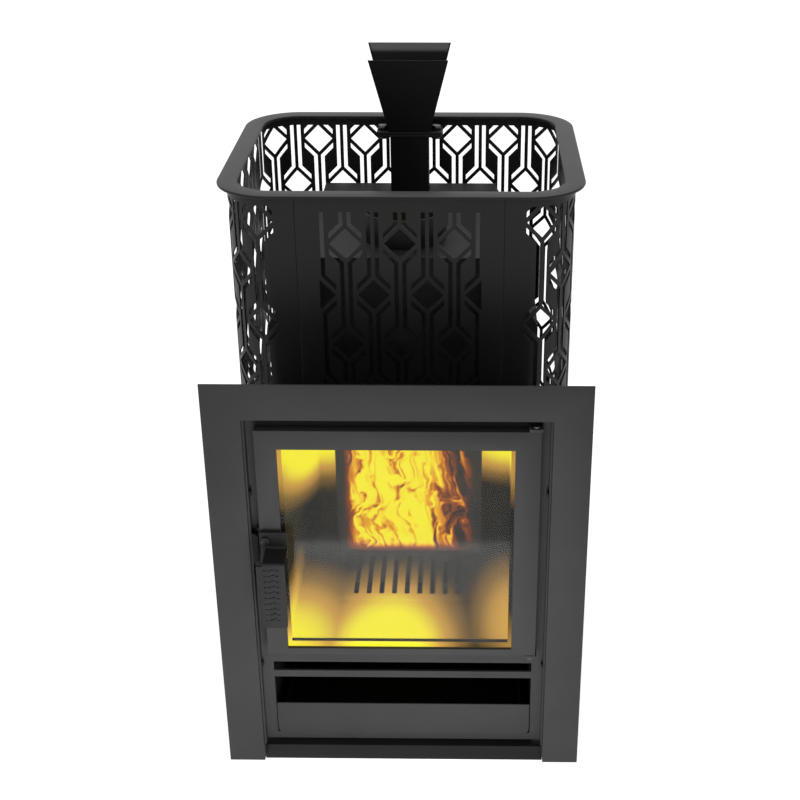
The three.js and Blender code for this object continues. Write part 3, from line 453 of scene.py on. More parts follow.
def firelit(name, tone, fire, room, glows):
    """Plates lit by the fire inside a room (half width, rear, floor), in soft eggs of light.

    An egg's light falls off from its strength with the distance from its centre, in half axes. Heights are
    sheared first, so that the egg leans down towards the rear. The brightest egg counts.
    """
    half, rear, floor = room
    paint = new_paint(name)
    spot, (x, y, z) = paint.place()
    light = None
    for glow in glows:
        leaned = paint.point(x, y, z + (y - glow.centre[1]) * glow.slope)
        away = paint.node("ShaderNodeVectorMath", {"operation": "SUBTRACT"}, {0: leaned, 1: glow.centre})
        away = paint.node("ShaderNodeVectorMath", {"operation": "DIVIDE"}, {0: away, 1: glow.axes})
        away = paint.node("ShaderNodeVectorMath", {"operation": "LENGTH"}, {0: away}, output=1)
        patch = away.rises(1.25, 0.15) * glow.strength
        light = patch if light is None else light.larger(patch)
    inside = z.rises(floor - 2 * MM, floor - MM) * y.rises(rear + 2 * MM, rear + MM)
    inside = inside * x.absolute().rises(half + 2 * MM, half + MM)
    black = (0.0, 0.0, 0.0)
    stops = [(0.12, black), (0.36, shade(fire.glow, 0.35)), (0.6, fire.glow), (0.85, fire.heart)]
    return paint.finish(
        {
            "Base Color": paint.mottled(spot, tone, 30.0, 1.3),
            "Roughness": 0.75,
            "Specular IOR Level": 0.2,
            "Emission Color": paint.ramp(light * inside, stops),
            "Emission Strength": fire.strength,
        }
    )


def stand(name, mesh, body, slot, node):
    """An object of a mesh, riding on a body and standing for its CAD node."""
    piece = bpy.data.objects.new(name, mesh)
    bpy.context.scene.collection.objects.link(piece)
    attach(piece, body)
    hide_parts(node)
    return piece


def body_of(node):
    """The body a CAD node rides on."""
    return frame["nodes"][node]["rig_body"]


def slot_of(node):
    """The material slot that the record gives a CAD node."""
    return next(part["material_slot"] for part in frame["record"]["subparts"] if part["node"] == node)


def nodes_of(slot):
    """The CAD nodes that the record gives a material slot."""
    return [part["node"] for part in frame["record"]["subparts"] if part["material_slot"] == slot]


def add_piece(name, node, vertices, faces, material, smooth_below=30.0):
    """A mesh object from arrays of vertices and faces, in place of a CAD node."""
    mesh = bpy.data.meshes.new(name)
    mesh.from_pydata(np.asarray(vertices, float).reshape(-1, 3).tolist(), [], faces)
    mesh.validate()
    mesh.shade_smooth()
    mesh.set_sharp_from_angle(angle=math.radians(smooth_below))
    mesh.materials.append(material)
    return stand(name, mesh, body_of(node), slot_of(node), node)


def soften(node, width, material):
    """A copy of a sheet-metal CAD node, its triangles joined into flats and its edges rounded."""
    mesh = frame["nodes"][node].data.copy()
    shell = bmesh.new()
    shell.from_mesh(mesh)
    bmesh.ops.remove_doubles(shell, verts=shell.verts, dist=MERGE_DISTANCE)
    bmesh.ops.dissolve_limit(shell, angle_limit=FLAT_ANGLE, verts=shell.verts, edges=shell.edges)
    shell.to_mesh(mesh)
    shell.free()
    mesh.shade_smooth()
    mesh.materials.clear()
    mesh.materials.append(material)
    piece = stand(node + "_finished", mesh, body_of(node), slot_of(node), node)
    bevel = piece.modifiers.new("rounded edges", "BEVEL")
    bevel.width = width
    bevel.segments = 2
    bevel.limit_method = "ANGLE"
    bevel.angle_limit = EDGE_ANGLE
    bevel.harden_normals = True


def dress(node, material):
    """Gives a CAD node a finished material."""
    data = frame["nodes"][node].data
    data.materials.clear()
    data.materials.append(material)


def grid_faces(rows, columns, close_rows=False, close_columns=False):
    """Quads between neighbouring points of a grid, joined end to end where it closes."""
    index = np.arange(rows * columns).reshape(rows, columns)
    if close_rows:
        index = np.vstack([index, index[:1]])
    if close_columns:
        index = np.hstack([index, index[:, :1]])
    corners = (index[:-1, :-1], index[:-1, 1:], index[1:, 1:], index[1:, :-1])
    return np.stack(corners, axis=-1).reshape(-1, 4).tolist()


def rounded(profile, radius, steps):
    """An open profile with its inner corners rounded: a quadratic curve between cut-back points."""
    profile = np.asarray(profile, float)
    corners = profile[1:-1]

    def cut_back(towards):
        """Each corner moved by the radius along one of its sides, at most to the side's middle."""
        span = np.linalg.norm(towards, axis=1)[:, None]
        return (corners + towards / span * np.minimum(radius, span / 2))[:, None]

    start = cut_back(profile[:-2] - corners)
    end = cut_back(profile[2:] - corners)
    share = np.linspace(0, 1, steps + 1)[None, :, None]
    curve = (1 - share) ** 2 * start + 2 * share * (1 - share) * corners[:, None] + share**2 * end
    return np.concatenate([profile[:1], curve.reshape(-1, 2), profile[-1:]])


def pierced(segments, is_metal, bend, thickness):
    """A sheet cut from a flat drawing.

    The drawing's segments, (n, 2, 2), are its outline, its holes and the lines at which it may bend. They are
    triangulated, and the triangles whose middle is metal are laid at depth 0 and again at the thickness by
    bend(points, depth). Edges with one triangle are open, and a wall joins each to its copy behind.
    """
    points = segments.reshape(-1, 2)
    pairs = np.arange(len(points)).reshape(-1, 2)
    found = delaunay_2d_cdt(points.tolist(), pairs.tolist(), [], 0, 1e-7)
    flat = np.array([point[:] for point in found[0]])
    triangles = np.array(found[2])
    triangles = triangles[is_metal(flat[triangles].mean(axis=1))]
    used, renamed = np.unique(triangles, return_inverse=True)
    triangles = renamed.reshape(-1, 3)
    flat = flat[used]
    sides = np.concatenate([triangles[:, [0, 1]], triangles[:, [1, 2]], triangles[:, [2, 0]]])
    _, which, uses = np.unique(np.sort(sides, axis=1), axis=0, return_inverse=True, return_counts=True)
    edge = sides[uses[which.ravel()] == 1]
    behind = edge + len(flat)
    walls = np.stack([edge[:, 1], edge[:, 0], behind[:, 0], behind[:, 1]], axis=-1)
    faces = triangles.tolist() + (triangles[:, ::-1] + len(flat)).tolist() + walls.tolist()
    return np.concatenate([bend(flat, 0.0), bend(flat, thickness)]), faces


def loop_segments(points):
    """The segments of a closed outline."""
    points = np.asarray(points, float)
    return np.stack([points, np.roll(points, -1, axis=0)], axis=1)


def rectangle(low_x, low_z, high_x, high_z):
    """The segments of a rectangle."""
    return loop_segments([(low_x, low_z), (high_x, low_z), (high_x, high_z), (low_x, high_z)])


def level_lines(levels, half):
    """Level segments of a drawing, from side to side, at which its holes end or its sheet may bend."""
    ends = np.full_like(levels, half)
    return np.stack([np.stack([-ends, levels], axis=-1), np.stack([ends, levels], axis=-1)], axis=1)


def upright_lines(places, low, high):
    """Upright segments of a drawing, at which its sheet may bend."""
    places = np.asarray(places, float)
    ends = np.stack([np.full_like(places, low), np.full_like(places, high)], axis=-1)
    return np.stack([np.broadcast_to(places[:, None], ends.shape), ends], axis=-1)


class Lattice:
    """Columns of diamonds, joined by pairs of bent slots along a stem.

    With u the distance from a column's axis and d the height from its nearest diamond, a diamond is
    u + d < r. A slot lies beyond the band, u + d > r + band, outside the stem, and either along the stem or
    along the diamond.
    """

    def __init__(self, sizes, columns, first_row, top, feet):
        self.sizes = sizes
        self.columns = np.asarray(columns, float)
        self.first_row = np.asarray(first_row, float)
        self.top = top
        self.feet = np.asarray(feet, float)
        self.band = sizes.diamond + sizes.band * math.sqrt(2)
        self.beyond = self.band + sizes.slot * math.sqrt(2)
        self.stem = sizes.band / 2
        self.far = self.stem + sizes.slot

    def is_hole(self, points):
        """Whether points of the drawing lie in a diamond or a slot."""
        size = self.sizes
        across = np.abs(points[:, :1] - self.columns[None])
        height = points[:, 1:] - self.first_row[None]
        away = np.abs((height + size.period / 2) % size.period - size.period / 2)
        both = across + away
        diamond = both < size.diamond
        slot = (across > self.stem) & (across < size.arm) & (both > self.band)
        slot &= (across < self.far) | (both < self.beyond)
        inside = (points[:, 1:] > self.feet[None]) & (points[:, 1:] < self.top)
        return np.any((diamond | slot) & inside, axis=1)

    def segments(self):
        """The outlines of all diamonds and slots, as segments of the drawing."""
        size = self.sizes
        r, arm, near, far = size.diamond, size.arm, self.stem, self.far
        diamond = loop_segments([(0, -r), (r, 0), (0, r), (-r, 0)])
        half = size.period / 2
        side = np.array([(near, self.band - near), (arm, self.band - arm), (arm, self.beyond - arm)])
        side = np.vstack([side, [(far, self.beyond - far), (far, half), (near, half)]])
        slots = [loop_segments(side * (sx, sz)) for sx in (-1, 1) for sz in (-1, 1)]
        shape = np.concatenate([diamond, *slots])
        rows = np.arange(-1, math.ceil(self.top / size.period) + 1)
        heights = self.first_row[:, None] - rows[None] * size.period
        centres = np.stack([np.broadcast_to(self.columns[:, None], heights.shape), heights], axis=-1)
        centres = centres.reshape(-1, 1, 1, 2)
        return (shape[None] + centres).reshape(-1, 2, 2)


def clipped(segments, low, high):
    """Segments that reach into a rectangle of the drawing."""
    inside = (segments.max(axis=1) > low).all(axis=1) & (segments.min(axis=1) < high).all(axis=1)
    return segments[inside]


def basket_box():
    """The basket wall's outside: half width, front, rear, bottom and top."""
    low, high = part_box("basket_wrap")
    return high.x, low.y, high.y, low.z, high.z


def basket_plan(distance, inset, radius):
    """The basket's plan at distances round it from the middle of the rear, positive to the left.

    Straight, quarter turn, straight, quarter turn, straight: each point is a centre line's place plus its
    outward direction times the radius less the inset.
    """
    half, front, rear, _, _ = basket_box()
    flat = half - radius
    side = rear - front - 2 * radius
    far = np.abs(distance)
    ends = basket_lengths(radius)
    angle = np.pi / 2 + np.clip((far - ends[0]) / radius, 0, np.pi / 2)
    angle = angle + np.clip((far - ends[2]) / radius, 0, np.pi / 2)
    x = -np.clip(far, 0, flat) + np.clip(far - ends[3], 0, None)
    y = rear - radius - np.clip(far - ends[1], 0, side)
    reach = radius - inset
    x = x + reach * np.cos(angle)
    y = y + reach * np.sin(angle)
    return np.where(distance < 0, -x, x), y


def basket_lengths(radius):
    """Distances round the basket at which its corners begin and end, from the middle of the rear."""
    half, front, rear, _, _ = basket_box()
    return np.cumsum([half - radius, radius * np.pi / 2, rear - front - 2 * radius, radius * np.pi / 2])


def corner_stops(ends, count):
    """Distances round the basket at points along its two corners on one side."""
    return np.concatenate([np.linspace(ends[0], ends[1], count), np.linspace(ends[2], ends[3], count)])


class HEATER_OT_basket(bpy.types.Operator):
    """Stone basket: the bent wrap and the flat front panel, each cut through with the lattice"""

    bl_idname = "heater.basket"
    bl_label = "Stone basket"

    CORNER_POINTS = 25
    ROLL_POINTS = 4

    def execute(self, context):
        sizes = settings().basket
        paint = satin_paint("basket paint", settings().finishes.dark_paint, 0.42, 0.22)
        rim_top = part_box("top_rim")[1].z
        tunnel_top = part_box("tunnel_roof")[1].z
        self.make_wrap(sizes, paint, rim_top, tunnel_top)
        self.make_panel(sizes, paint, rim_top, tunnel_top)
        return {"FINISHED"}

    def make_wrap(self, sizes, paint, rim_top, tunnel_top):
        """The wrap, drawn flat as distance round the basket by height."""
        half, _, _, bottom, top = basket_box()
        ends = basket_lengths(sizes.radius)
        edge = ends[3] + half - sizes.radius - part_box("basket_front_panel")[1].x
        notch_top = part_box("basket_front_panel")[0].z
        body_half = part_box("firebox_side_right")[1].x
        notch_half = body_half + notch_top - tunnel_top
        lean = math.asin((notch_half - half + sizes.radius) / sizes.radius)
        notch = ends[3] - lean * sizes.radius
        count = np.arange(-sizes.wrap_columns, sizes.wrap_columns + 1)
        step = np.abs(count)
        full = sizes.rear_columns * sizes.pitch / 2
        closed_up = (edge - sizes.wrap_margin - full) / (sizes.wrap_columns - sizes.rear_columns)
        place = np.minimum(step, sizes.rear_columns) * sizes.pitch / 2
        place = place + np.maximum(step - sizes.rear_columns, 0) * closed_up
        first_row = rim_top - sizes.wrap_row - np.where(step % 2 == 0, 0, sizes.period / 2)
        lattice_top = rim_top - sizes.wrap_row + sizes.diamond
        rows = math.floor((first_row.min() - sizes.diamond - bottom - sizes.arm) / sizes.period)
        foot = first_row.min() - rows * sizes.period - sizes.diamond
        front_foot = tunnel_top + sizes.panel_foot
        feet = np.where(step == sizes.wrap_columns, front_foot, foot)
        lattice = Lattice(sizes, np.sign(count) * place, first_row, lattice_top, feet)
        outline = loop_segments(
            [
                (-notch, bottom),
                (notch, bottom),
                (notch, notch_top),
                (edge, notch_top),
                (edge, top),
                (-edge, top),
                (-edge, notch_top),
                (-notch, notch_top),
            ]
        )
        bends = corner_stops(ends, self.CORNER_POINTS)
        lines = upright_lines(np.concatenate([-bends, bends]), bottom, top)
        levels = level_lines(np.array([lattice_top, foot, front_foot]), edge)
        holes = clipped(lattice.segments(), (-edge, foot), (edge, lattice_top))
        segments = np.concatenate([outline, lines, levels, holes])

        def is_metal(points):
            """Whether points of the drawing are on the sheet, beside or above its notch, and in no hole."""
            far, height = np.abs(points[:, 0]), points[:, 1]
            on_sheet = (height > bottom) & (height < top) & (far < edge)
            on_sheet &= (far < notch) | (height > notch_top)
            return on_sheet & ~lattice.is_hole(points)

        def bend(points, depth):
            """Lays the drawing round the basket's plan, inside it by the depth."""
            x, y = basket_plan(points[:, 0], depth, sizes.radius)
            return np.stack([x, y, points[:, 1]], axis=-1)

        vertices, faces = pierced(segments, is_metal, bend, sizes.sheet)
        add_piece("basket_wrap_lattice", "basket_wrap", vertices, faces, paint)

    def make_panel(self, sizes, paint, rim_top, tunnel_top):
        """The front panel, drawn as x by height, with its upright edges rolled back a little."""
        low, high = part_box("basket_front_panel")
        count = np.arange(-sizes.panel_columns, sizes.panel_columns + 1)
        first_row = rim_top - sizes.panel_row - np.where(count % 2 == 0, 0, sizes.period / 2)
        lattice_top = rim_top - sizes.panel_margin
        foot = tunnel_top + sizes.panel_foot
        lattice = Lattice(sizes, count * sizes.pitch / 2, first_row, lattice_top, np.full(len(count), foot))
        outline = rectangle(low.x, low.z, high.x, high.z)
        window = rectangle(-sizes.panel_half, foot, sizes.panel_half, lattice_top)
        roll = np.linspace(0.1, 1, self.ROLL_POINTS) * sizes.roll
        edges = np.concatenate([low.x + roll, high.x - roll])
        holes = clipped(lattice.segments(), (-sizes.panel_half, foot), (sizes.panel_half, lattice_top))
        segments = np.concatenate([outline, window, upright_lines(edges, low.z, high.z), holes])

        def is_metal(points):
            """Whether points of the drawing are on the panel and in no hole of its window."""
            inside = (points[:, 0] > low.x) & (points[:, 0] < high.x)
            inside &= (points[:, 1] > low.z) & (points[:, 1] < high.z)
            pattern = np.abs(points[:, 0]) < sizes.panel_half
            return inside & ~(lattice.is_hole(points) & pattern)

        def bend(points, depth):
            """Stands the drawing up; its front falls back at the edges along a quarter circle."""
            margin = np.minimum(points[:, 0] - low.x, high.x - points[:, 0])
            into = np.clip(sizes.roll - margin, 0, sizes.roll)
            back = sizes.roll - np.sqrt(sizes.roll**2 - into**2)
            y = low.y + (back if depth == 0 else depth)
            return np.stack([points[:, 0], np.broadcast_to(y, margin.shape), points[:, 1]], axis=-1)

        vertices, faces = pierced(segments, is_metal, bend, sizes.sheet)
        add_piece("basket_panel_lattice", "basket_front_panel", vertices, faces, paint)


class HEATER_OT_rim(bpy.types.Operator):
    """Top rim: a flat ring with rounded edges, a section carried round the basket's plan"""

    bl_idname = "heater.rim"
    bl_label = "Top rim"

    CORNER_POINTS = 33
    EDGE_POINTS = 5

    def execute(self, context):
        basket, fittings = settings().basket, settings().fittings
        low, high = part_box("top_rim")
        half = basket_box()[0]
        overhang = high.x - half
        inset = overhang + fittings.rim_inside
        ends = basket_lengths(basket.radius)
        total = ends[3] + half - basket.radius
        stops = corner_stops(ends, self.CORNER_POINTS)
        path = np.concatenate([[0.0], stops, [total], -stops[::-1]])
        thick = high.z - low.z
        corners = [(0, 0), (-overhang, 0), (-overhang, thick), (inset, thick), (inset, 0), (0, 0)]
        section = rounded(corners, fittings.rim_edge, self.EDGE_POINTS)[:-1]
        x, y = basket_plan(path[None, :], section[:, :1], basket.radius)
        z = np.broadcast_to(low.z + section[:, 1:], x.shape)
        vertices = np.stack([x, y, z], axis=-1)
        faces = grid_faces(*x.shape, close_rows=True, close_columns=True)
        paint = satin_paint("rim paint", shade(settings().finishes.paint, 0.4), 0.36, 0.16)
        add_piece("rim_ring", "top_rim", vertices, faces, paint)
        return {"FINISHED"}


class HEATER_OT_sheet_metal(bpy.types.Operator):
    """Painted sheet metal: portal, front plate, plinth, drawer face, brackets, strips, duct and funnel"""

    bl_idname = "heater.sheet_metal"
    bl_label = "Painted sheet metal"

    PAINTED = ("portal_frame", "front_plate", "drawer_face", "hinge_bracket_upper", "hinge_bracket_lower")
    # The plinth is in the dark paint as painted shade: it is coloured darker than the portal for the shade it
    # stands in.
    DARK = ("plinth_panel", "funnel_flange", "feed_duct", "latch_keeper")
    DARK_STRIPS = ("seam_strip_left", "seam_strip_right")
    THIN_BEVEL = 0.7
    REAR_PAINTED_LIGHT = 4.5

    def execute(self, context):
        finishes, bevel = settings().finishes, settings().fittings.bevel
        paint = satin_paint("portal paint", finishes.paint, 0.46, 0.14)
        dark = satin_paint("dark paint", finishes.dark_paint, 0.45, 0.16)
        for node in self.PAINTED:
            soften(node, bevel, paint)
        for node in self.DARK:
            soften(node, bevel * self.THIN_BEVEL, dark)
        for node in self.DARK_STRIPS:
            dress(node, dark)
        # Painted light: the funnel's rear plate is coloured this much lighter than the portal paint.
        pale = shade(finishes.paint, self.REAR_PAINTED_LIGHT)
        funnel = funnel_paint_with_painted_light("funnel paint and painted light", finishes.dark_paint, pale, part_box("funnel")[1].y)
        soften("funnel", bevel * self.THIN_BEVEL, funnel)
        return {"FINISHED"}


class HEATER_OT_door(bpy.types.Operator):
    """Door: frame with rounded edges, glass, gasket and rope seal"""

    bl_idname = "heater.door"
    bl_label = "Door"

    def execute(self, context):
        finishes, fittings = settings().finishes, settings().fittings
        paint = satin_paint("door paint", finishes.paint, 0.44, 0.15)
        soften("door_frame", fittings.bevel, paint)
        dress("door_glass", ceramic_glass("door glass", finishes.glass, finishes.glass_cover))
        fibre = rope_fibre("rope", finishes.fibre)
        dress("glass_gasket", fibre)
        dress("door_seal", fibre)
        return {"FINISHED"}


class HEATER_OT_grip(bpy.types.Operator):
    """Handle grip: a strip pierced with holes and wavy slits, bent forwards and down, with folded sides"""

    bl_idname = "heater.grip"
    bl_label = "Handle grip"

    ROWS = 10
    FIRST_ROW = 0.6  # pitches below the top of the hanging plate
    FOLD_RADIUS = 1.1  # sheet thicknesses, on the outside
    WAVE_CLEARANCE = 0.8  # hole diameters from a hole's centre to a slit's end
    HOLE_SIDES = 12
    HOLE_FLAT = 0.98  # share of a hole's radius that its flat sides surely hold
    WAVE_POINTS = 13
    BEND_POINTS = 6
    FOLD_POINTS = 5
    SMOOTH_BELOW = 40.0

    def execute(self, context):
        self.size = settings().fittings
        self.low, self.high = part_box("handle_grip")
        self.lay_path()
        self.cut_holes()
        segments = np.concatenate([loop_segments(self.outline()), self.bend_lines(), *self.holes])
        vertices, faces = pierced(segments, self.is_metal, self.bend, self.size.grip_sheet)
        paint = satin_paint("grip paint", shade(settings().finishes.dark_paint, 1.6), 0.45, 0.2)
        add_piece("grip_strip", "handle_grip", vertices, faces, paint, self.SMOOTH_BELOW)
        return {"FINISHED"}

    def lay_path(self):
        """The strip's front face from the top of its rear plate, down, forwards and down again."""
        size, low, high = self.size, self.low, self.high
        bridge = low.z + size.grip_length
        back = high.y - size.grip_sheet
        corners = [(back, high.z), (back, bridge), (low.y, bridge), (low.y, low.z)]
        self.path = rounded(corners, size.grip_bend, self.BEND_POINTS)
        steps = np.diff(self.path, axis=0)
        self.travel = np.concatenate([[0], np.cumsum(np.hypot(*steps.T))])
        along_path = np.gradient(self.path, self.travel, axis=0)
        along_path /= np.linalg.norm(along_path, axis=1)[:, None]
        self.normal = np.stack([along_path[:, 1], -along_path[:, 0]], axis=-1)
        self.end = self.travel[-1]
        self.plate = self.end - (size.grip_length - size.grip_bend)
        self.half = (high.x - low.x) / 2
        self.roll = size.grip_sheet * self.FOLD_RADIUS
        self.flat = self.half - self.roll
        self.reach = self.flat + self.roll * np.pi / 2 + size.grip_fold - self.roll
        self.notch_top = high.z - low.z - size.grip_length - size.grip_bend
        self.notch_side = -self.half + size.grip_cutout

    def outline(self):
        """The flat strip: rear plate, bridge with a notch at its left, and the folded plate."""
        cut = self.size.grip_fold
        points = [
            (-self.half, 0),
            (-self.half, self.notch_top),
            (self.notch_side, self.notch_top),
            (self.notch_side, self.plate),
            (-self.reach, self.plate),
            (-self.reach, self.end - cut),
            (-self.reach + cut, self.end),
            (self.reach - cut, self.end),
            (self.reach, self.end - cut),
            (self.reach, self.plate),
            (self.half, self.plate),
            (self.half, 0),
        ]
        return np.array(points) * (1, -1)

    def bend_lines(self):
        """Lines across the strip at its bends, and along it at its folds."""
        across = level_lines(-self.travel[1:-1], self.reach)
        rolls = self.flat + np.linspace(0, 1, self.FOLD_POINTS) * self.roll * np.pi / 2
        folds = upright_lines(np.concatenate([-rolls, rolls]), -self.end, -self.plate)
        return np.concatenate([across, folds])

    def cut_holes(self):
        """Rows of two round holes with a wavy slit between them, on the hanging plate."""
        size = self.size
        self.rows = -self.plate - size.grip_pitch * (np.arange(self.ROWS) + self.FIRST_ROW)
        columns = np.array([-0.5, 0.5]) * size.grip_columns
        self.centres = np.stack(np.meshgrid(columns, self.rows), axis=-1).reshape(-1, 2)
        angle = np.linspace(0, 2 * np.pi, self.HOLE_SIDES, endpoint=False)
        ring = loop_segments(np.stack([np.cos(angle), np.sin(angle)], -1) * size.grip_hole / 2)
        self.wave_half = size.grip_columns / 2 - size.grip_hole * self.WAVE_CLEARANCE
        place = np.linspace(-self.wave_half, self.wave_half, self.WAVE_POINTS)
        upper = np.stack([place, self.wave(place) + size.grip_slit / 2], -1)
        lower = np.stack([place, self.wave(place) - size.grip_slit / 2], -1)
        slit = loop_segments(np.concatenate([lower, upper[::-1]]))
        shifts = np.stack([np.zeros_like(self.rows), self.rows], -1)
        self.holes = [
            (ring[None] + self.centres[:, None, None]).reshape(-1, 2, 2),
            (slit[None] + shifts[:, None, None]).reshape(-1, 2, 2),
        ]

    def wave(self, place):
        """Height of a wavy slit: one full wave between two holes."""
        return self.size.grip_wave * np.sin(np.pi * place / self.wave_half)

    def is_metal(self, points):
        """Whether points of the drawing are metal: inside the outline and outside holes and slits."""
        size = self.size
        across, down = points[:, 0], -points[:, 1]
        left = np.where(down > self.plate, -self.reach, -self.half)
        left = np.where((down > self.notch_top) & (down < self.plate), self.notch_side, left)
        right = np.where(down > self.plate, self.reach, self.half)
        inside = (across > left) & (across < right) & (down > 0) & (down < self.end)
        inside &= np.abs(across) - self.reach + down - self.end < -size.grip_fold
        away = np.linalg.norm(points[:, None] - self.centres[None], axis=2).min(axis=1)
        height = np.abs(points[:, 1:] - self.wave(across)[:, None] - self.rows[None]).min(axis=1)
        slit = (height < size.grip_slit / 2) & (np.abs(across) < self.wave_half)
        return inside & (away > size.grip_hole / 2 * self.HOLE_FLAT) & ~slit

    def bend(self, points, depth):
        """Lays the drawing along the path; beyond the flat of the plate it turns back round the fold."""
        across, down = points[:, 0], -points[:, 1]
        folded = down > self.plate - MERGE_DISTANCE
        beyond = np.where(folded, np.clip(np.abs(across) - self.flat, 0, None), 0)
        angle = np.clip(beyond / self.roll, 0, np.pi / 2)
        inner = self.roll - depth
        side = np.where(folded & (beyond > 0), self.flat + inner * np.sin(angle), np.abs(across))
        into = self.roll - inner * np.cos(angle) + np.clip(beyond - self.roll * np.pi / 2, 0, None)
        y, z = (np.interp(down, self.travel, self.path[:, i]) for i in range(2))
        normal_y, normal_z = (np.interp(down, self.travel, self.normal[:, i]) for i in range(2))
        middle = (self.low.x + self.high.x) / 2
        x = middle + np.sign(across) * side
        return np.stack([x, y - normal_y * into, z - normal_z * into], axis=-1)


class HEATER_OT_fittings(bpy.types.Operator):
    """Fittings: flue spigot, hinge pins, screws, bolts, feet, and the latch's shaft and tongue"""

    bl_idname = "heater.fittings"
    bl_label = "Turned fittings"

    SCREW_ROWS = (1, 2)
    ROUND_BEVEL = 0.6
    SCREW_BEVEL = 0.5

    def execute(self, context):
        bevel = settings().fittings.bevel
        steel = plain_steel("plain steel", settings().finishes.zinc)
        dark = satin_paint("screw paint", settings().finishes.dark_paint, 0.4, 0.3)
        for node in nodes_of("plain_steel"):
            finish = dark if body_of(node) == "latch_handle" else steel
            soften(node, bevel * self.ROUND_BEVEL, finish)
        for side in SIDES:
            for row in self.SCREW_ROWS:
                soften(f"portal_screw_{side}_{row}", bevel * self.SCREW_BEVEL, dark)
        soften("flue_spigot", bevel, bpy.data.materials["fired steel"])
        return {"FINISHED"}


class HEATER_OT_firebox(bpy.types.Operator):
    """Firebox: fired and near-black plates, cast iron, the fire, and its light on the plates and the door"""

    bl_idname = "heater.firebox"
    bl_label = "Firebox and fire"

    LIT = (
        "hearth_plate",
        "lining_left",
        "lining_right",
        "firebox_rear_wall",
        "firebox_side_left",
        "firebox_side_right",
        "grate",
    )
    # Near-black, dull plates: the ash tray, its runners and the base plate.
    NEAR_BLACK_PARTS = ("drawer_tray", "drawer_runner_left", "drawer_runner_right", "base_plate")
    LEVEL = 0.0
    WALL_SLOPE = 0.45
    HEARTH_ASIDE = -0.022

    def execute(self, context):
        finishes, fire = settings().finishes, settings().fire
        steel = fired_steel("fired steel", finishes.steel)
        for node in nodes_of("fired_steel"):
            dress(node, steel)
        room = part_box("hearth_plate")[1]
        glows = self.glows(room.z)
        lit = firelit("firelit plate", finishes.iron, fire, room, glows)
        for node in self.LIT:
            dress(node, lit)
        # The retainer is lit on its front face alone, so that its rear is plain when the door is open.
        before_glass = (room.x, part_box("glass_retainer")[0].y, room.z)
        dress("glass_retainer", firelit("firelit retainer", finishes.iron, fire, before_glass, glows))
        near_black = satin_paint("near_black", finishes.near_black, 0.8, 0.05)
        for node in self.NEAR_BLACK_PARTS:
            dress(node, near_black)
        dress("steam_box", flame_panel("flame panel", finishes.steel, fire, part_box("steam_box")))
        return {"FINISHED"}

    def glows(self, floor):
        """Where the fire's light falls: the floor at the door, the floor's sides, and the upper walls."""
        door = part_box("front_plate")[0].y
        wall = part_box("lining_right")[0].x
        return [
            Glow((self.HEARTH_ASIDE, door + 0.03, floor), (0.135, 0.24, 0.12), self.LEVEL, 1.0),
            Glow((-wall, door + 0.03, floor), (0.135, 0.25, 0.10), self.LEVEL, 0.85),
            Glow((wall, door + 0.10, floor), (0.085, 0.22, 0.11), self.LEVEL, 0.62),
            Glow((-wall, door + 0.36, floor + 0.16), (0.18, 0.55, 0.105), self.WALL_SLOPE, 1.0),
            Glow((wall, door + 0.38, floor + 0.15), (0.13, 0.55, 0.095), self.WALL_SLOPE, 1.0),
        ]


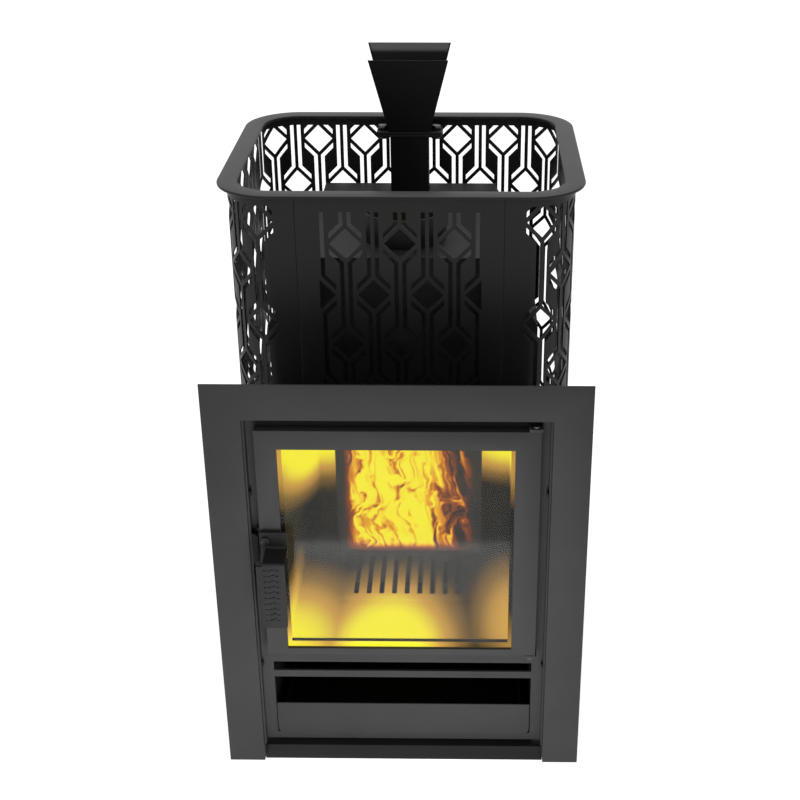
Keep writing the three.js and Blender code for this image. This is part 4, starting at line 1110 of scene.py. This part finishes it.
class HEATER_OT_stage(bpy.types.Operator):
    """Stage: pale floor, white room, soft lamps and the camera"""

    bl_idname = "heater.stage"
    bl_label = "Stage"

    FLOOR_HALF = 12.0
    FLOOR_LIFT = 0.72
    SEEN_RAYS = ("Is Camera Ray", "Is Glossy Ray", "Is Transmission Ray")
    WHITE = (1.0, 1.0, 1.0)
    BLACK = (0.0, 0.0, 0.0)
    LAMPS = (
        Lamp("key lamp", (-1.6, -2.2, 2.9), (0.0, -0.1, 0.5), 1.8, 10.0),
        Lamp("fill lamp", (2.2, -1.6, 2.2), (0.0, 0.0, 0.5), 1.8, 7.0),
        Lamp("top lamp", (0.0, 0.6, 3.2), (0.0, 0.1, 0.8), 1.6, 5.0),
        Lamp("low lamp", (0.0, -0.85, 0.03), (0.0, -0.25, 0.12), 0.5, 9.0),
    )

    def execute(self, context):
        self.make_floor()
        self.make_room(settings().stage.ambient)
        for lamp in self.LAMPS:
            self.make_lamp(lamp)
        self.make_camera(settings().stage)
        context.scene.view_settings.view_transform = "Standard"
        return {"FINISHED"}

    def make_floor(self):
        """A pale plane; seen by the camera it is lifted to white, and it keeps the shadow."""
        side = self.FLOOR_HALF
        corners = [(-side, -side, 0), (side, -side, 0), (side, side, 0), (-side, side, 0)]
        mesh = bpy.data.meshes.new("floor")
        mesh.from_pydata(corners, [], [(0, 1, 2, 3)])
        paint = new_paint("pale floor")
        seen = self.seen(paint)
        mesh.materials.append(
            paint.finish(
                {
                    "Base Color": (0.82, 0.82, 0.82, 1.0),
                    "Roughness": 1.0,
                    "Specular IOR Level": 0.0,
                    "Emission Color": paint.ramp(seen, [(0.0, self.BLACK), (1.0, self.WHITE)]),
                    "Emission Strength": self.FLOOR_LIFT,
                }
            )
        )
        floor = bpy.data.objects.new("floor", mesh)
        bpy.context.scene.collection.objects.link(floor)

    def seen(self, paint):
        """1 for rays from the camera, from a mirror or through glass, 0 for rays that only light things."""
        rays = paint.node("ShaderNodeLightPath").socket.node.outputs
        camera, mirror, glass = (Socket(paint, rays[kind]) for kind in self.SEEN_RAYS)
        return camera.larger(mirror).larger(glass)

    def make_room(self, ambient):
        """A white room: plain white where it is seen, and an even soft light elsewhere."""
        world = bpy.data.worlds.new("white room")
        bpy.context.scene.world = world
        paint = Paint(world)
        white_colour = (*self.WHITE, 1.0)
        lights = paint.node("ShaderNodeBackground", inputs={"Color": white_colour, "Strength": ambient})
        white = paint.node("ShaderNodeBackground", inputs={"Color": white_colour, "Strength": 1.0})
        mixed = paint.node("ShaderNodeMixShader", inputs={0: self.seen(paint), 1: lights, 2: white})
        paint.node("ShaderNodeOutputWorld", inputs={"Surface": mixed})

    @staticmethod
    def make_lamp(lamp):
        """A square soft box that faces its target."""
        light = bpy.data.lights.new(lamp.name, "AREA")
        light.size = lamp.side
        light.energy = lamp.power
        holder = bpy.data.objects.new(lamp.name, light)
        x, y, z = np.subtract(lamp.place, lamp.target)
        holder.location = lamp.place
        holder.rotation_euler = (math.atan2(math.hypot(x, y), z), 0.0, math.atan2(y, x) + math.pi / 2)
        holder.visible_glossy = False
        bpy.context.scene.collection.objects.link(holder)

    @staticmethod
    def make_camera(stage):
        """The camera, with the lens axis off the image's centre as the photograph's framing needs."""
        lens = bpy.data.cameras.new("camera")
        lens.lens = stage.focal
        lens.sensor_width = SENSOR
        lens.shift_x = (IMAGE_SIDE / 2 - stage.centre_u) / IMAGE_SIDE
        lens.shift_y = (stage.centre_v - IMAGE_SIDE / 2) / IMAGE_SIDE
        camera = bpy.data.objects.new("camera", lens)
        portal_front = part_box("portal_frame")[0].y
        camera.location = (stage.aside, portal_front - stage.before, stage.height)
        camera.rotation_euler = (math.pi / 2 - stage.pitch, 0.0, stage.yaw)
        bpy.context.scene.collection.objects.link(camera)
        bpy.context.scene.camera = camera


PIECES = (
    HEATER_OT_basket,
    HEATER_OT_rim,
    HEATER_OT_sheet_metal,
    HEATER_OT_door,
    HEATER_OT_grip,
    HEATER_OT_fittings,
    HEATER_OT_firebox,
    HEATER_OT_stage,
)


class HEATER_PT_panel(bpy.types.Panel):
    """Lists the heater's pieces in the 3D view's sidebar"""

    bl_idname = "HEATER_PT_panel"
    bl_label = "Sauna heater"
    bl_space_type = "VIEW_3D"
    bl_region_type = "UI"
    bl_category = "Sauna heater"

    def draw(self, context):
        for piece in PIECES:
            self.layout.operator(piece.bl_idname)


CLASSES = (
    BasketSizes,
    FittingSizes,
    Finishes,
    FireColours,
    StageSettings,
    HeaterSettings,
    *PIECES,
    HEATER_PT_panel,
)


def register():
    """Registers the classes and puts the settings on the scene."""
    for made in CLASSES:
        bpy.utils.register_class(made)
    bpy.types.Scene.sauna_heater = PointerProperty(type=HeaterSettings)


def unregister():
    """Takes the settings and the classes away again."""
    del bpy.types.Scene.sauna_heater
    for made in reversed(CLASSES):
        bpy.utils.unregister_class(made)


def main():
    """Builds every piece in order."""
    register()
    bpy.ops.heater.basket()
    bpy.ops.heater.rim()
    # The firebox comes before the fittings, which use its fired steel.
    bpy.ops.heater.firebox()
    bpy.ops.heater.sheet_metal()
    bpy.ops.heater.door()
    bpy.ops.heater.grip()
    bpy.ops.heater.fittings()
    bpy.ops.heater.stage()


if __name__ == "__main__":
    main()
